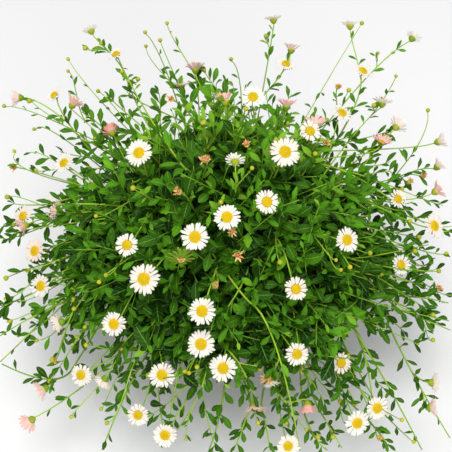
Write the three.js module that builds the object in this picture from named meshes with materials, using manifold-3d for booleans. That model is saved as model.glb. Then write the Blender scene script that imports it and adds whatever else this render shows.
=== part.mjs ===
// Potted Mexican fleabane (Erigeron karvinskianus), in millimetres, +Z up.
// The origin is the centre of the pot's flat underside, and -Y is the front.
//
// A plain round pot holds the soil. Leafy stems stand in plain holes in the soil. Each one carries
// its part of the dense mound, leaves that stand out of it, and wiry flower stalks with buds,
// closing heads and spent heads. An open bloom is a ring of rays round a domed disc, and it sits
// on the green cup at the end of its stalk.
import * as THREE from 'three';
import { mergeVertices } from 'three/addons/utils/BufferGeometryUtils.js';
import Module from 'manifold-3d';

const wasm = await Module();
wasm.setup();

// Pot and soil
const potHeight = 105;
const potBaseRadius = 44;
const potRimRadius = 64;
const potWall = 2.4;
const potFloor = 4;
const rimBandHeight = 16;
const rimBandStep = 3;
const drainHoles = 4;
const drainHoleRadius = 4;
const drainCircleRadius = 24;
const potSides = 20;
const soilDepthBelowRim = 9;
const fitGap = 0.3;

// The mound of foliage: its height falls with the square of the distance from the middle
const moundRadius = 127;
const moundSkirt = 85;
const moundTop = 217;
const coreDepth = 34;
const coreRadius = 98;
const coreFoot = 91;
const coreShoulderDrop = 14;
const coreSideHeight = 134;
const coreCeiling = 114;
const coreSides = 20;
const innerStems = 4;
const outerStems = 10;
const innerRadius = 42;
const cellGap = 0.8;
const cutFoot = 50;
const cutTop = 300;
const woodyRadius = 2.2;
const woodySides = 5;
const woodySunk = 13;
const woodyRise = 18;

// Leaves
const moundSprigs = 59;
const sprigLength = 55;
const sprigLeaves = 4;
const leafLength = 27;
const leafWidth = 12;
const leafThickness = 0.65;
const leafSunk = 5;
const leafDrafts = 30;
const coveredShare = 0.97;
const topBias = 1.25;

// Flower stalks and heads
const stalkRadius = 0.8;
const bloomRays = 9;
const rayThickness = 0.8;
const discRadius = 3.1;
const discDome = 1.7;
const cupHeight = 3.4;
const bloomStand = 13;
const bloomLean = 0.55;
const bloomDrafts = 24;
const headDrafts = 20;
const outerStand = 118;
const outerRise = 0.35;
const lightLean = 0.35;
const stalkSunk = 9;
const stalkRootShare = 0.55;
const stalkWander = 0.06;
const stalkPull = 0.3;
const rootMargin = 7;
const shortStalk = 40;
const twigRadius = 0.7;
const shortTwig = 12;
const dearestTwig = 75;

// The photograph's frame, by which the heads are placed: its size and focal length in pixels,
// and the camera's distance, its height angle and the height that it looks at
const photoSize = 452;
const photoFocal = 1080;
const cameraDistance = 800;
const cameraElevation = THREE.MathUtils.degToRad(55);
const cameraAimHeight = 110;
const sightStart = 480;
const sightEnd = 1120;
const sightStep = 0.5;

// Open blooms: where each is seen in the photograph, and how wide it really is
const blooms = [
  { seen: [285, 152], across: 20 }, { seen: [139, 153], across: 19 },
  { seen: [64, 163], across: 17 }, { seen: [35, 251], across: 18 },
  { seen: [127, 245], across: 18 }, { seen: [41, 286], across: 17.5 },
  { seen: [144, 279], across: 21 }, { seen: [195, 237], across: 19 },
  { seen: [227, 217], across: 19 }, { seen: [267, 202], across: 17.5 },
  { seen: [114, 324], across: 18 }, { seen: [81, 375], across: 16.5 },
  { seen: [202, 311], across: 20 }, { seen: [201, 344], across: 19.5 },
  { seen: [162, 375], across: 18.5 }, { seen: [223, 368], across: 19 },
  { seen: [138, 415], across: 16 }, { seen: [165, 435], across: 17.5 },
  { seen: [297, 354], across: 18.5 }, { seen: [341, 363], across: 15 },
  { seen: [296, 289], across: 17 }, { seen: [347, 240], across: 17.5 },
  { seen: [401, 265], across: 16 }, { seen: [398, 199], across: 15.5 },
  { seen: [434, 226], across: 19 }, { seen: [253, 97], across: 17 },
  { seen: [342, 113], across: 17 }, { seen: [310, 131], across: 17 },
  { seen: [363, 71], across: 16.5 }, { seen: [286, 64], across: 16 },
  { seen: [23, 216], across: 16 }, { seen: [377, 408], across: 18 },
  { seen: [357, 423], across: 18.5 }, { seen: [288, 446], across: 17 },
  { seen: [116, 54], across: 14 }, { seen: [54, 95], across: 14 },
];

// Closing and side-on heads, spent heads and buds, each by its place in the photograph
const closingHeads = [
  [75, 101], [110, 130], [195, 65], [224, 96], [273, 15], [292, 45], [287, 101], [350, 21],
  [415, 35], [399, 124], [383, 138], [383, 99], [316, 121], [440, 189], [441, 163], [443, 140],
  [20, 228], [55, 210], [57, 324], [28, 423], [40, 391], [102, 383], [255, 411], [308, 410],
  [437, 383], [435, 407], [235, 157], [89, 27], [15, 98], [272, 387], [181, 81],
];
const spentHeads = [
  [177, 191], [203, 159], [238, 255], [339, 85], [327, 142], [424, 175], [440, 288], [382, 439],
  [268, 379], [180, 257],
];
const buds = [
  [4, 106], [34, 129], [68, 59], [101, 43], [122, 72], [145, 32], [167, 23], [231, 59],
  [378, 53], [396, 76], [428, 110], [36, 170], [7, 197], [106, 275], [221, 202], [280, 262],
  [341, 270], [410, 221], [433, 315], [433, 340], [402, 420], [333, 437], [414, 442], [260, 369],
  [189, 373], [186, 439], [71, 417], [52, 360], [86, 345], [439, 271],
];

const up = new THREE.Vector3(0, 0, 1);
const upright = new THREE.Matrix4().makeRotationX(Math.PI / 2);

// Seeded draws, so that the plant is the same each time
let drawState = 20261;
function draw() {
  drawState = (drawState + 0x6d2b79f5) | 0;
  let mixed = Math.imul(drawState ^ (drawState >>> 15), 1 | drawState);
  mixed = (mixed + Math.imul(mixed ^ (mixed >>> 7), 61 | mixed)) ^ mixed;
  return ((mixed ^ (mixed >>> 14)) >>> 0) / 4294967296;
}
function drawBetween(low, high) {
  return low + (high - low) * draw();
}

// Closed geometry to solid, and back
function toSolid(geometry) {
  const bare = geometry.clone();
  bare.deleteAttribute('normal');
  bare.deleteAttribute('uv');
  const merged = mergeVertices(bare, 1e-4);
  const solid = new wasm.Manifold(new wasm.Mesh({
    numProp: 3,
    vertProperties: new Float32Array(merged.attributes.position.array),
    triVerts: new Uint32Array(merged.index.array),
  }));
  return solid;
}
function toGeometry(solid) {
  const mesh = solid.getMesh();
  const geometry = new THREE.BufferGeometry();
  geometry.setAttribute('position', new THREE.BufferAttribute(mesh.vertProperties, 3));
  geometry.setIndex(new THREE.BufferAttribute(mesh.triVerts, 1));
  geometry.computeVertexNormals();
  return geometry;
}

// A solid turned about Z from a profile of [radius, height] pairs that closes on itself
function turned(profile, sides) {
  const points = profile.map(([radius, height]) => new THREE.Vector2(radius, height));
  return toSolid(new THREE.LatheGeometry(points, sides).applyMatrix4(upright));
}

// A frame at a point, with its Z along one direction and its Y as near to another as it can be
function frameAt(point, along, towards) {
  const z = along.clone().normalize();
  const x = towards.clone().cross(z);
  if (x.lengthSq() < 1e-6) x.set(1, 0, 0);
  x.normalize();
  const y = z.clone().cross(x);
  return new THREE.Matrix4().makeBasis(x, y, z).setPosition(point);
}

// Triangles from corner points by index, as closed geometry
function faceted(corners, triangles) {
  const geometry = new THREE.BufferGeometry();
  geometry.setAttribute('position', new THREE.Float32BufferAttribute(corners.flat(), 3));
  geometry.setIndex(triangles.flat());
  return geometry;
}

// Where a pixel of the photograph's sight line starts and points
const eye = new THREE.Vector3(
  0,
  -cameraDistance * Math.cos(cameraElevation),
  cameraAimHeight + cameraDistance * Math.sin(cameraElevation),
);
function sightLine([across, down]) {
  const right = (across - photoSize / 2) / photoFocal;
  const lift = (photoSize / 2 - down) / photoFocal;
  const cos = Math.cos(cameraElevation);
  const sin = Math.sin(cameraElevation);
  return new THREE.Vector3(right, cos + lift * sin, -sin + lift * cos);
}

// The mound's height over the ground at a distance from the middle
function moundHeight(radius) {
  return moundSkirt + (moundTop - moundSkirt) * (1 - (radius / moundRadius) ** 2);
}

// A head stands over the mound, or past its edge on a sheet that rises from front to back:
// the first point of its sight line that is as low as the higher of the two
function headPlace(seen, stand) {
  const line = sightLine(seen);
  const point = eye.clone();
  for (let reach = sightStart; reach < sightEnd; reach += sightStep) {
    point.copy(eye).addScaledVector(line, reach);
    const overMound = moundHeight(Math.hypot(point.x, point.y)) + stand;
    const pastEdge = outerStand + outerRise * point.y + (stand - bloomStand);
    if (point.z <= Math.max(overMound, pastEdge)) break;
  }
  return point;
}

// Heads face up, out from the middle and a little to the light in front
function headFacing(place, outLean) {
  const facing = new THREE.Vector3(place.x, place.y, 0).multiplyScalar(outLean / moundRadius);
  facing.y -= lightLean;
  facing.z += 1;
  return facing.normalize();
}

// Pot: a tapered wall with a band round its rim, a flat base and holes to drain
const potInside = potRimRadius - rimBandStep - potWall;
function makePot() {
  const bandFoot = potHeight - rimBandHeight;
  const body = turned([
    [0, 0], [potBaseRadius, 0], [potRimRadius - rimBandStep, bandFoot],
    [potRimRadius, bandFoot], [potRimRadius, potHeight], [potInside, potHeight],
    [potInside, bandFoot], [potBaseRadius - potWall, potFloor], [0, potFloor],
  ], potSides);
  const holes = [];
  for (let hole = 0; hole < drainHoles; hole++) {
    const angle = ((hole + 0.5) / drainHoles) * 2 * Math.PI;
    const drill = new THREE.CylinderGeometry(drainHoleRadius, drainHoleRadius, 3 * potFloor, 8);
    drill.applyMatrix4(upright);
    drill.translate(drainCircleRadius * Math.cos(angle), drainCircleRadius * Math.sin(angle), 0);
    holes.push(toSolid(drill));
  }
  return body.subtract(wasm.Manifold.union(holes));
}

// Soil: fills the pot to just below the rim, with one plain hole for each leafy stem
const soilTop = potHeight - soilDepthBelowRim;
function makeSoil(stemFeet) {
  const bandFoot = potHeight - rimBandHeight;
  const body = turned([
    [0, potFloor + fitGap], [potBaseRadius - potWall - fitGap, potFloor + fitGap],
    [potInside - fitGap, bandFoot], [potInside - fitGap, soilTop], [0, soilTop],
  ], potSides);
  const holes = stemFeet.map((foot) => {
    const radius = (woodyRadius + fitGap) / Math.cos(Math.PI / woodySides);
    const depth = 2 * (woodySunk + fitGap);
    const drill = new THREE.CylinderGeometry(radius, radius, depth, woodySides);
    drill.applyMatrix4(upright);
    drill.translate(foot.x, foot.y, soilTop);
    return toSolid(drill);
  });
  return body.subtract(wasm.Manifold.union(holes));
}

// The mound's inner core: a lumpy dome with a hollow under it for the pot's rim
const coreTop = moundTop - coreDepth;
const coreOuter = [
  [0, coreTop], [0.5 * coreRadius, coreTop - coreShoulderDrop],
  [0.86 * coreRadius, coreSideHeight], [coreRadius, coreFoot + 11], [0.94 * coreRadius, coreFoot],
];
const coreUnder = [
  [potRimRadius + 11, coreFoot + 1], [potRimRadius + 6, potHeight + 6], [0, coreCeiling],
];
const swellFrom = 0.8 * coreRadius;
function swell(angle, radius) {
  if (radius < swellFrom) return 1;
  return 1 + 0.035 * Math.sin(3 * angle + 0.7) + 0.03 * Math.sin(5 * angle);
}

// The core is cut into one cell for each leafy stem, the inner ones round the middle
function makeCores() {
  const profile = [...[...coreUnder].reverse(), ...[...coreOuter].reverse()];
  const points = profile.map(([radius, height]) => new THREE.Vector2(radius, height));
  const quarterTurn = new THREE.Matrix4().makeRotationZ(Math.PI / 2);
  const dome = new THREE.LatheGeometry(points, coreSides).applyMatrix4(upright);
  dome.applyMatrix4(quarterTurn);
  const corners = dome.attributes.position;
  for (let corner = 0; corner < corners.count; corner++) {
    const x = corners.getX(corner);
    const y = corners.getY(corner);
    const grown = swell(Math.atan2(y, x), Math.hypot(x, y));
    corners.setXY(corner, x * grown, y * grown);
  }
  const ring = [
    [innerRadius, cutFoot], [innerRadius + cellGap, cutFoot], [innerRadius + cellGap, cutTop],
    [innerRadius, cutTop], [innerRadius, cutFoot],
  ].map(([radius, height]) => new THREE.Vector2(radius, height));
  const ringCut = new THREE.LatheGeometry(ring, outerStems).applyMatrix4(upright);
  const cuts = [toSolid(ringCut.applyMatrix4(quarterTurn))];
  const addCut = (angle, start, length) => {
    const blade = new THREE.BoxGeometry(length, cellGap, cutTop);
    blade.translate(start + length / 2, 0, cutTop / 2);
    blade.applyMatrix4(new THREE.Matrix4().makeRotationZ(angle));
    cuts.push(toSolid(blade));
  };
  for (let cell = 0; cell < innerStems; cell++) {
    addCut((cell / innerStems) * 2 * Math.PI, 0, innerRadius + cellGap / 2);
  }
  for (let cell = 0; cell < outerStems; cell++) {
    addCut((cell / outerStems) * 2 * Math.PI, innerRadius + cellGap / 2, 2 * moundRadius);
  }
  return toSolid(dome).subtract(wasm.Manifold.union(cuts)).decompose();
}

// The leafy stem that a place belongs to, by its distance and direction from the middle
function stemAt(radius, angle) {
  const turn = ((angle / (2 * Math.PI)) % 1 + 1) % 1;
  if (radius < innerRadius) return Math.floor(turn * innerStems);
  return innerStems + Math.floor(turn * outerStems);
}

// A direction kept clear of the cuts between two cells
function insideCell(radius, angle) {
  const count = radius < innerRadius ? innerStems : outerStems;
  const share = (2 * Math.PI) / count;
  const cell = Math.floor(angle / share);
  const margin = Math.min(0.45 * share, 5 / radius);
  return THREE.MathUtils.clamp(angle, cell * share + margin, (cell + 1) * share - margin);
}

// The core's outer surface at a share of its area, from the top down to its lower edge
function coreSurface(areaShare) {
  const areas = coreOuter.slice(1).map(([radius, height], band) => {
    const [lastRadius, lastHeight] = coreOuter[band];
    return (radius + lastRadius) * Math.hypot(radius - lastRadius, height - lastHeight);
  });
  let left = areaShare * areas.reduce((sum, area) => sum + area, 0);
  let band = 0;
  while (band < areas.length - 1 && left > areas[band]) left -= areas[band++];
  const [r0, z0] = coreOuter[band];
  const [r1, z1] = coreOuter[band + 1];
  const part = Math.min(1, left / areas[band]);
  const along = r0 === 0 ? Math.sqrt(part) : part;
  const slope = Math.hypot(r1 - r0, z1 - z0);
  return {
    radius: r0 + (r1 - r0) * along,
    height: z0 + (z1 - z0) * along,
    normalOut: (z0 - z1) / slope,
    normalUp: (r1 - r0) / slope,
  };
}
function coreHeight(radius) {
  let band = 0;
  while (band < 2 && coreOuter[band + 1][0] < radius) band++;
  const [r0, z0] = coreOuter[band];
  const [r1, z1] = coreOuter[band + 1];
  return z0 + ((z1 - z0) * (radius - r0)) / (r1 - r0);
}

// A shoot's leaves as one thin arched blade: a rib with leaves cut to it on both sides and one
// at its end. Points are [across, along].
function leafySprig(frame, length) {
  const ribHalf = 0.8;
  const left = [[-ribHalf, 0]];
  const right = [[ribHalf, 0]];
  for (let leaf = 0; leaf < sprigLeaves; leaf++) {
    const side = leaf % 2 ? right : left;
    const sign = leaf % 2 ? 1 : -1;
    const root = length * (0.2 + (0.42 * leaf) / (sprigLeaves - 1));
    const lean = drawBetween(0.75, 1.05);
    const sin = Math.sin(lean);
    const cos = Math.cos(lean);
    const reach = leafLength * drawBetween(0.7, 0.95) * (1 - 0.06 * leaf);
    const half = leafWidth * drawBetween(0.36, 0.46);
    const at = (along, across) => side.push([
      sign * (ribHalf + along * sin + across * cos), root + along * cos - across * sin,
    ]);
    at(0, 0);
    at(0.5 * reach, half);
    at(reach, 0);
    at(0.55 * reach, -half);
    side.push([sign * ribHalf, root + 2]);
  }
  const endFoot = 0.7 * length;
  const ends = [[-0.42 * leafWidth, endFoot + 0.15 * length], [0, length]];
  const outline = [...left, ...ends, [-ends[0][0], ends[0][1]], ...right.reverse()];
  const shape = new THREE.Shape(outline.map(([x, y]) => new THREE.Vector2(x, y)));
  const blade = new THREE.ExtrudeGeometry(shape, { depth: leafThickness, bevelEnabled: false });
  const corners = blade.attributes.position;
  for (let corner = 0; corner < corners.count; corner++) {
    const across = corners.getX(corner);
    const along = corners.getY(corner);
    const arch = 0.5 * along * (1 - along / length) - 0.014 * across * across;
    corners.setXYZ(corner, across, arch - corners.getZ(corner), along);
  }
  return toSolid(blade.applyMatrix4(frame));
}

// An open bloom: blunt rays of slightly uneven length round a domed disc
function openBloom(frame, across) {
  const count = bloomRays;
  const inner = [];
  const top = [];
  for (let ray = 0; ray < count; ray++) {
    const middle = ((ray + drawBetween(-0.1, 0.1)) / count) * 2 * Math.PI;
    const root = ((ray - 0.5) / count) * 2 * Math.PI;
    const notch = ((ray + 0.5) / count) * 2 * Math.PI;
    const half = (0.34 * 2 * Math.PI) / count;
    const reach = (across / 2) * drawBetween(0.92, 1);
    const droop = drawBetween(-0.6, 0.5);
    inner.push([discRadius * Math.cos(root), discRadius * Math.sin(root), 0.9]);
    top.push([reach * Math.cos(middle - half), reach * Math.sin(middle - half), droop]);
    top.push([reach * Math.cos(middle + half), reach * Math.sin(middle + half), droop]);
    const cut = 0.29 * across;
    top.push([cut * Math.cos(notch), cut * Math.sin(notch), 0.3]);
  }
  const under = [];
  for (let ray = 0; ray < count; ray++) {
    const [left, right, notch] = top.slice(3 * ray, 3 * ray + 3);
    under.push([(left[0] + right[0]) / 2, (left[1] + right[1]) / 2, left[2] - rayThickness]);
    under.push([notch[0], notch[1], notch[2] - rayThickness]);
  }
  const corners = [...inner, ...top, ...under, [0, 0, discDome], [0, 0, -1]];
  const apex = 6 * count;
  const foot = apex + 1;
  const triangles = [];
  for (let ray = 0; ray < count; ray++) {
    const nextInner = (ray + 1) % count;
    const left = count + 3 * ray;
    const right = left + 1;
    const notch = left + 2;
    const lastNotch = count + ((3 * ray - 1 + 3 * count) % (3 * count));
    const underTip = 4 * count + 2 * ray;
    const underNotch = underTip + 1;
    const lastUnderNotch = 4 * count + ((2 * ray - 1 + 2 * count) % (2 * count));
    triangles.push(
      [ray, lastNotch, left], [ray, left, right], [ray, right, nextInner],
      [nextInner, right, notch], [ray, nextInner, apex],
      [lastUnderNotch, underTip, left], [lastUnderNotch, left, lastNotch],
      [left, underTip, right], [underTip, underNotch, right], [underNotch, notch, right],
      [foot, underTip, lastUnderNotch], [foot, underNotch, underTip],
    );
  }
  return toSolid(faceted(corners, triangles).applyMatrix4(frame));
}

// What a stalk ends in, as rings of [corners, radius, height] and the height of its middle.
// A second radius and height are those of the notches between its rays.
const greenCup = { rings: [[6, 0.9 * discRadius, cupHeight]], middle: cupHeight };
const closingHead = { rings: [[6, 2.4, 2.6], [6, 4.6, 9, 3.4, 6.8]], middle: 6 };
const spentHead = { rings: [[6, 2.9, 2.2]], middle: 3.9 };
const budHead = { rings: [[6, 2.1, 2.1]], middle: 4.6 };

// A three-sided stalk along a curve, with its head in one piece with it
function stalkSolid(curve, steps, radius, head) {
  const { tangents, normals, binormals } = curve.computeFrenetFrames(steps);
  const corners = [];
  const triangles = [];
  const addRing = (count, step, radii, lifts) => {
    const first = corners.length;
    const centre = curve.getPointAt(step / steps);
    for (let corner = 0; corner < count; corner++) {
      const angle = (corner / count) * 2 * Math.PI;
      const notch = corner % 2;
      const point = centre.clone()
        .addScaledVector(normals[step], radii[notch] * Math.cos(angle))
        .addScaledVector(binormals[step], radii[notch] * Math.sin(angle))
        .addScaledVector(tangents[step], lifts[notch]);
      corners.push(point.toArray());
    }
    return { first, count };
  };
  const bridge = (low, high) => {
    for (let corner = 0; corner < low.count; corner++) {
      const from = low.first + corner;
      const to = low.first + ((corner + 1) % low.count);
      const above = (shift) => high.first + ((corner * high.count) / low.count + shift) % high.count;
      if (low.count === high.count) {
        triangles.push([from, to, above(1)], [from, above(1), above(0)]);
      } else {
        triangles.push([from, above(1), above(0)], [from, to, above(1)], [to, above(2), above(1)]);
      }
    }
  };
  let last = addRing(3, 0, [radius, radius], [0, 0]);
  triangles.push([0, 2, 1]);
  for (let step = 1; step <= steps; step++) {
    const next = addRing(3, step, [radius, radius], [0, 0]);
    bridge(last, next);
    last = next;
  }
  head.rings.forEach(([count, outer, height, inner = outer, notchHeight = height]) => {
    const next = addRing(count, steps, [outer, inner], [height, notchHeight]);
    bridge(last, next);
    last = next;
  });
  const end = curve.getPointAt(1).addScaledVector(tangents[steps], head.middle);
  corners.push(end.toArray());
  for (let corner = 0; corner < last.count; corner++) {
    const next = (corner + 1) % last.count;
    triangles.push([last.first + corner, last.first + next, corners.length - 1]);
  }
  return toSolid(faceted(corners, triangles));
}

// The middle of one of a stalk's straight lengths, where it can fork or bear a leaf
function stalkNode(stalk, step) {
  const from = stalk.curve.getPointAt(step / stalk.steps);
  const to = stalk.curve.getPointAt((step + 1) / stalk.steps);
  return { point: from.clone().lerp(to, 0.5), along: to.sub(from).normalize() };
}

// Every piece stays clear of every other but the one that it grows from
const pieces = [];
function addPiece(stem, solid) {
  const piece = { stem, solid, box: solid.boundingBox() };
  pieces.push(piece);
  return piece;
}
function isClear(solid, allowed) {
  const box = solid.boundingBox();
  return pieces.every((piece) => {
    if (allowed.includes(piece)) return true;
    const apart = [0, 1, 2].some((axis) => (
      box.min[axis] > piece.box.max[axis] + cellGap || box.max[axis] < piece.box.min[axis] - cellGap
    ));
    return apart || solid.minGap(piece.solid, cellGap) > fitGap;
  });
}

// Pot, soil and the core cells, in the order of their leafy stems
const pot = makePot();
addPiece(null, pot);
const coreCells = [];
makeCores().forEach((solid) => {
  const { vertProperties } = solid.getMesh();
  const middle = new THREE.Vector2();
  for (let at = 0; at < vertProperties.length; at += 3) {
    middle.x += vertProperties[at];
    middle.y += vertProperties[at + 1];
  }
  middle.multiplyScalar(3 / vertProperties.length);
  const inner = middle.length() < 0.8 * innerRadius;
  const stem = stemAt(inner ? 0 : 2 * innerRadius, middle.angle());
  coreCells[stem] = addPiece(stem, solid);
});

// A woody foot for each leafy stem, upright in its hole and sunk into its core above
const stemFeet = coreCells.map((cell, stem) => {
  const inner = stem < innerStems;
  const count = inner ? innerStems : outerStems;
  const angle = ((stem - (inner ? 0 : innerStems) + 0.5) / count) * 2 * Math.PI;
  const radius = (inner ? 0.4 : 1.08) * innerRadius;
  const low = soilTop - woodySunk;
  const high = potHeight + woodyRise;
  const foot = new THREE.Vector3(radius * Math.cos(angle), radius * Math.sin(angle), low);
  const wood = new THREE.CylinderGeometry(0.85 * woodyRadius, woodyRadius, high - low, woodySides);
  wood.applyMatrix4(upright);
  wood.translate(foot.x, foot.y, (low + high) / 2);
  addPiece(stem, toSolid(wood));
  return foot;
});
const soil = makeSoil(stemFeet);

// A stalk from the core to a head: it leaves upward and outward and ends square to the head.
// Each further draft wanders more.
const stalks = [];
function growStalk(place, facing, head, draft) {
  const reach = Math.hypot(place.x, place.y);
  const wander = draft * stalkWander;
  let radius = stalkRootShare * reach * drawBetween(1 - wander, 1 + wander);
  radius = reach < innerRadius + 2 * rootMargin
    ? Math.min(0.7 * reach, innerRadius - rootMargin)
    : THREE.MathUtils.clamp(radius, innerRadius + rootMargin, 0.87 * coreRadius);
  const aim = Math.atan2(place.y, place.x) + drawBetween(-wander, wander);
  const angle = insideCell(radius, (aim + 2 * Math.PI) % (2 * Math.PI));
  const stem = stemAt(radius, angle);
  const out = new THREE.Vector3(Math.cos(angle), Math.sin(angle), 0);
  const start = out.clone().multiplyScalar(radius * swell(angle, radius));
  start.z = coreHeight(radius) - stalkSunk;
  const gap = start.distanceTo(place);
  const leave = out.clone().multiplyScalar(radius / coreRadius).add(up).normalize();
  const curve = new THREE.CubicBezierCurve3(
    start,
    start.clone().addScaledVector(leave, (stalkPull + 0.02 * draft) * gap),
    place.clone().addScaledVector(facing, -stalkPull * gap),
    place,
  );
  const steps = gap > shortStalk ? 3 : 2;
  return { stem, curve, steps, solid: stalkSolid(curve, steps, stalkRadius, head) };
}

// A twig forks off the stalk that suits its head best: near it, pointing to it, and not at its
// root. Each further draft makes the last choice dearer.
function growTwig(place, head, draft) {
  let best = null;
  stalks.forEach((stalk) => {
    for (let step = 0; step < stalk.steps; step++) {
      const { point, along } = stalkNode(stalk, step);
      const gap = point.distanceTo(place);
      const towards = place.clone().sub(point).normalize();
      const atRoot = step === 0 ? dearestTwig / 3 : 0;
      const tooShort = gap < shortTwig ? dearestTwig : 0;
      const cost = gap * (1.6 - towards.dot(along)) * stalk.blocked + atRoot + tooShort;
      if (!best || cost < best.cost) best = { stalk, fork: point, cost };
    }
  });
  if (!best || best.cost > dearestTwig) return null;
  if (draft > 0) best.stalk.blocked += stalkPull;
  const curve = new THREE.LineCurve3(best.fork, place);
  const solid = stalkSolid(curve, 1, twigRadius, head);
  return { stem: best.stalk.stem, curve, steps: 1, solid, parent: best.stalk.piece };
}
function keepStalk(stalk) {
  const piece = addPiece(stalk.stem, stalk.solid);
  stalks.push({ ...stalk, piece, blocked: 1 });
}

// The blooms first, each on its cup and its own stalk
const bloomSolids = blooms.map(({ seen, across }) => {
  const place = headPlace(seen, bloomStand);
  const facing = headFacing(place, bloomLean);
  const bloom = openBloom(frameAt(place, facing, up), across);
  const stalkEnd = place.clone().addScaledVector(facing, -1 - fitGap - cupHeight);
  for (let draft = 0; draft < bloomDrafts; draft++) {
    const stalk = growStalk(stalkEnd, facing, greenCup, draft);
    if (!isClear(stalk.solid, [coreCells[stalk.stem]]) || !isClear(bloom, [])) continue;
    keepStalk(stalk);
    addPiece(null, bloom);
    return bloom;
  }
  return null;
});

// Other heads fork off the stalks, or have one of their own from the core
function addHead(seen, stand, head, outLean) {
  const place = headPlace(seen, stand);
  const facing = headFacing(place, outLean);
  facing.x += drawBetween(-0.4, 0.4);
  facing.y += drawBetween(-0.2, 0.4);
  facing.normalize();
  place.addScaledVector(facing, -head.middle);
  for (let draft = 0; draft < headDrafts; draft++) {
    const twig = draft % 2 ? null : growTwig(place, head, draft);
    const stalk = twig ?? growStalk(place, facing, head, draft);
    const parent = twig ? twig.parent : coreCells[stalk.stem];
    if (!isClear(stalk.solid, [parent])) continue;
    keepStalk(stalk);
    return;
  }
}
closingHeads.forEach((seen) => addHead(seen, drawBetween(12, 22), closingHead, 1));
spentHeads.forEach((seen) => addHead(seen, drawBetween(8, 14), spentHead, 0.6));
buds.forEach((seen) => addHead(seen, drawBetween(12, 26), budHead, 0.8));

// Leafy sprigs of the mound: over all of the core and a little closer at its top, spiralling
// down to its lower edge. The later drafts of a sprig are smaller, and may touch the stalks of
// their own leafy stem.
const goldenTurn = Math.PI * (3 - Math.sqrt(5));
for (let sprig = 0; sprig < moundSprigs; sprig++) {
  const share = coveredShare * ((sprig + 0.5) / moundSprigs) ** topBias;
  const { radius, height, normalOut, normalUp } = coreSurface(share);
  const angle = (sprig * goldenTurn) % (2 * Math.PI);
  const reach = radius * swell(angle, radius);
  const stem = stemAt(reach, angle);
  const out = new THREE.Vector3(Math.cos(angle), Math.sin(angle), 0);
  const around = new THREE.Vector3(-out.y, out.x, 0);
  const normal = out.clone().multiplyScalar(normalOut).addScaledVector(up, normalUp);
  const downhill = out.clone().multiplyScalar(normalUp).addScaledVector(up, -normalOut);
  const root = out.clone().multiplyScalar(reach).setZ(height).addScaledVector(normal, -leafSunk);
  const lean = Math.min(1, radius / innerRadius);
  for (let draft = 0; draft < leafDrafts; draft++) {
    const growth = normal.clone().multiplyScalar(0.5)
      .addScaledVector(around, drawBetween(-0.6, 0.6))
      .addScaledVector(downhill, drawBetween(-0.5, 0.2) + 0.8 * lean)
      .normalize();
    const facing = up.clone().multiplyScalar(0.4).add(normal);
    facing.addScaledVector(around, drawBetween(-0.4, 0.4));
    const size = (1 - 0.012 * draft) * drawBetween(0.85, 1.05);
    const blade = leafySprig(frameAt(root, growth, facing), sprigLength * size);
    const late = draft > leafDrafts / 2;
    const own = pieces.filter((piece) => piece.stem === stem);
    if (!isClear(blade, late ? own : [coreCells[stem]])) continue;
    addPiece(stem, blade);
    break;
  }
}

// Each leafy stem is one body
const stemSolids = coreCells.map((cell, stem) => (
  wasm.Manifold.union(pieces.filter((piece) => piece.stem === stem).map((piece) => piece.solid))
));

const leafGreen = new THREE.MeshStandardMaterial({ color: 0x4a8a2c, roughness: 0.55 });
const rayWhite = new THREE.MeshStandardMaterial({ color: 0xf8efec, roughness: 0.6 });
const potDark = new THREE.MeshStandardMaterial({ color: 0x3b3a38, roughness: 0.6 });
const soilBrown = new THREE.MeshStandardMaterial({ color: 0x3a2a1d, roughness: 0.95 });

const plant = new THREE.Group();
function addMesh(name, solid, material) {
  const mesh = new THREE.Mesh(toGeometry(solid), material);
  mesh.name = name;
  plant.add(mesh);
}
function numbered(name, index) {
  return `${name}_${String(index + 1).padStart(2, '0')}`;
}
addMesh('pot', pot, potDark);
addMesh('soil', soil, soilBrown);
stemSolids.forEach((solid, stem) => addMesh(numbered('leafy_stem', stem), solid, leafGreen));
bloomSolids.forEach((solid, bloom) => {
  if (solid) addMesh(numbered('bloom', bloom), solid, rayWhite);
});

export default plant;
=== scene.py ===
import math

import bpy
import numpy as np
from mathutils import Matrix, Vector


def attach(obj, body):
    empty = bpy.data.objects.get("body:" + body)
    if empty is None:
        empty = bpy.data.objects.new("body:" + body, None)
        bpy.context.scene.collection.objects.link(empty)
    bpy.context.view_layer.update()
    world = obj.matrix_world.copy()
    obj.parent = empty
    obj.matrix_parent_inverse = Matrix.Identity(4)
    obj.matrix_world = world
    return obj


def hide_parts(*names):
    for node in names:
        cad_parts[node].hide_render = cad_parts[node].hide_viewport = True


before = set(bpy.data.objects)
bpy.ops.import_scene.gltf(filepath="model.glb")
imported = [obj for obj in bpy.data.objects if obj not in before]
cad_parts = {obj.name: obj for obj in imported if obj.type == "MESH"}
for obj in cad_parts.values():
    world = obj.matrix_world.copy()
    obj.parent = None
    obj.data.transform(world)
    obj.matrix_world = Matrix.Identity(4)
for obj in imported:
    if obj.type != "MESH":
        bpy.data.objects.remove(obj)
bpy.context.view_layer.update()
mm = 0.001
rng = np.random.default_rng(1128)
up = np.array([0.0, 0.0, 1.0])
goldenTurn = math.pi * (3 - math.sqrt(5))

photo = {
    "size": 452,  # pixels
    "focal": 1080,  # pixels
    "distance": 800,
    "elevation": math.radians(55),
    "aimHeight": 110,
    "nearest": 480,  # where the search along a sight line starts and ends
    "furthest": 1120,
    "step": 0.5,
}

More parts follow.
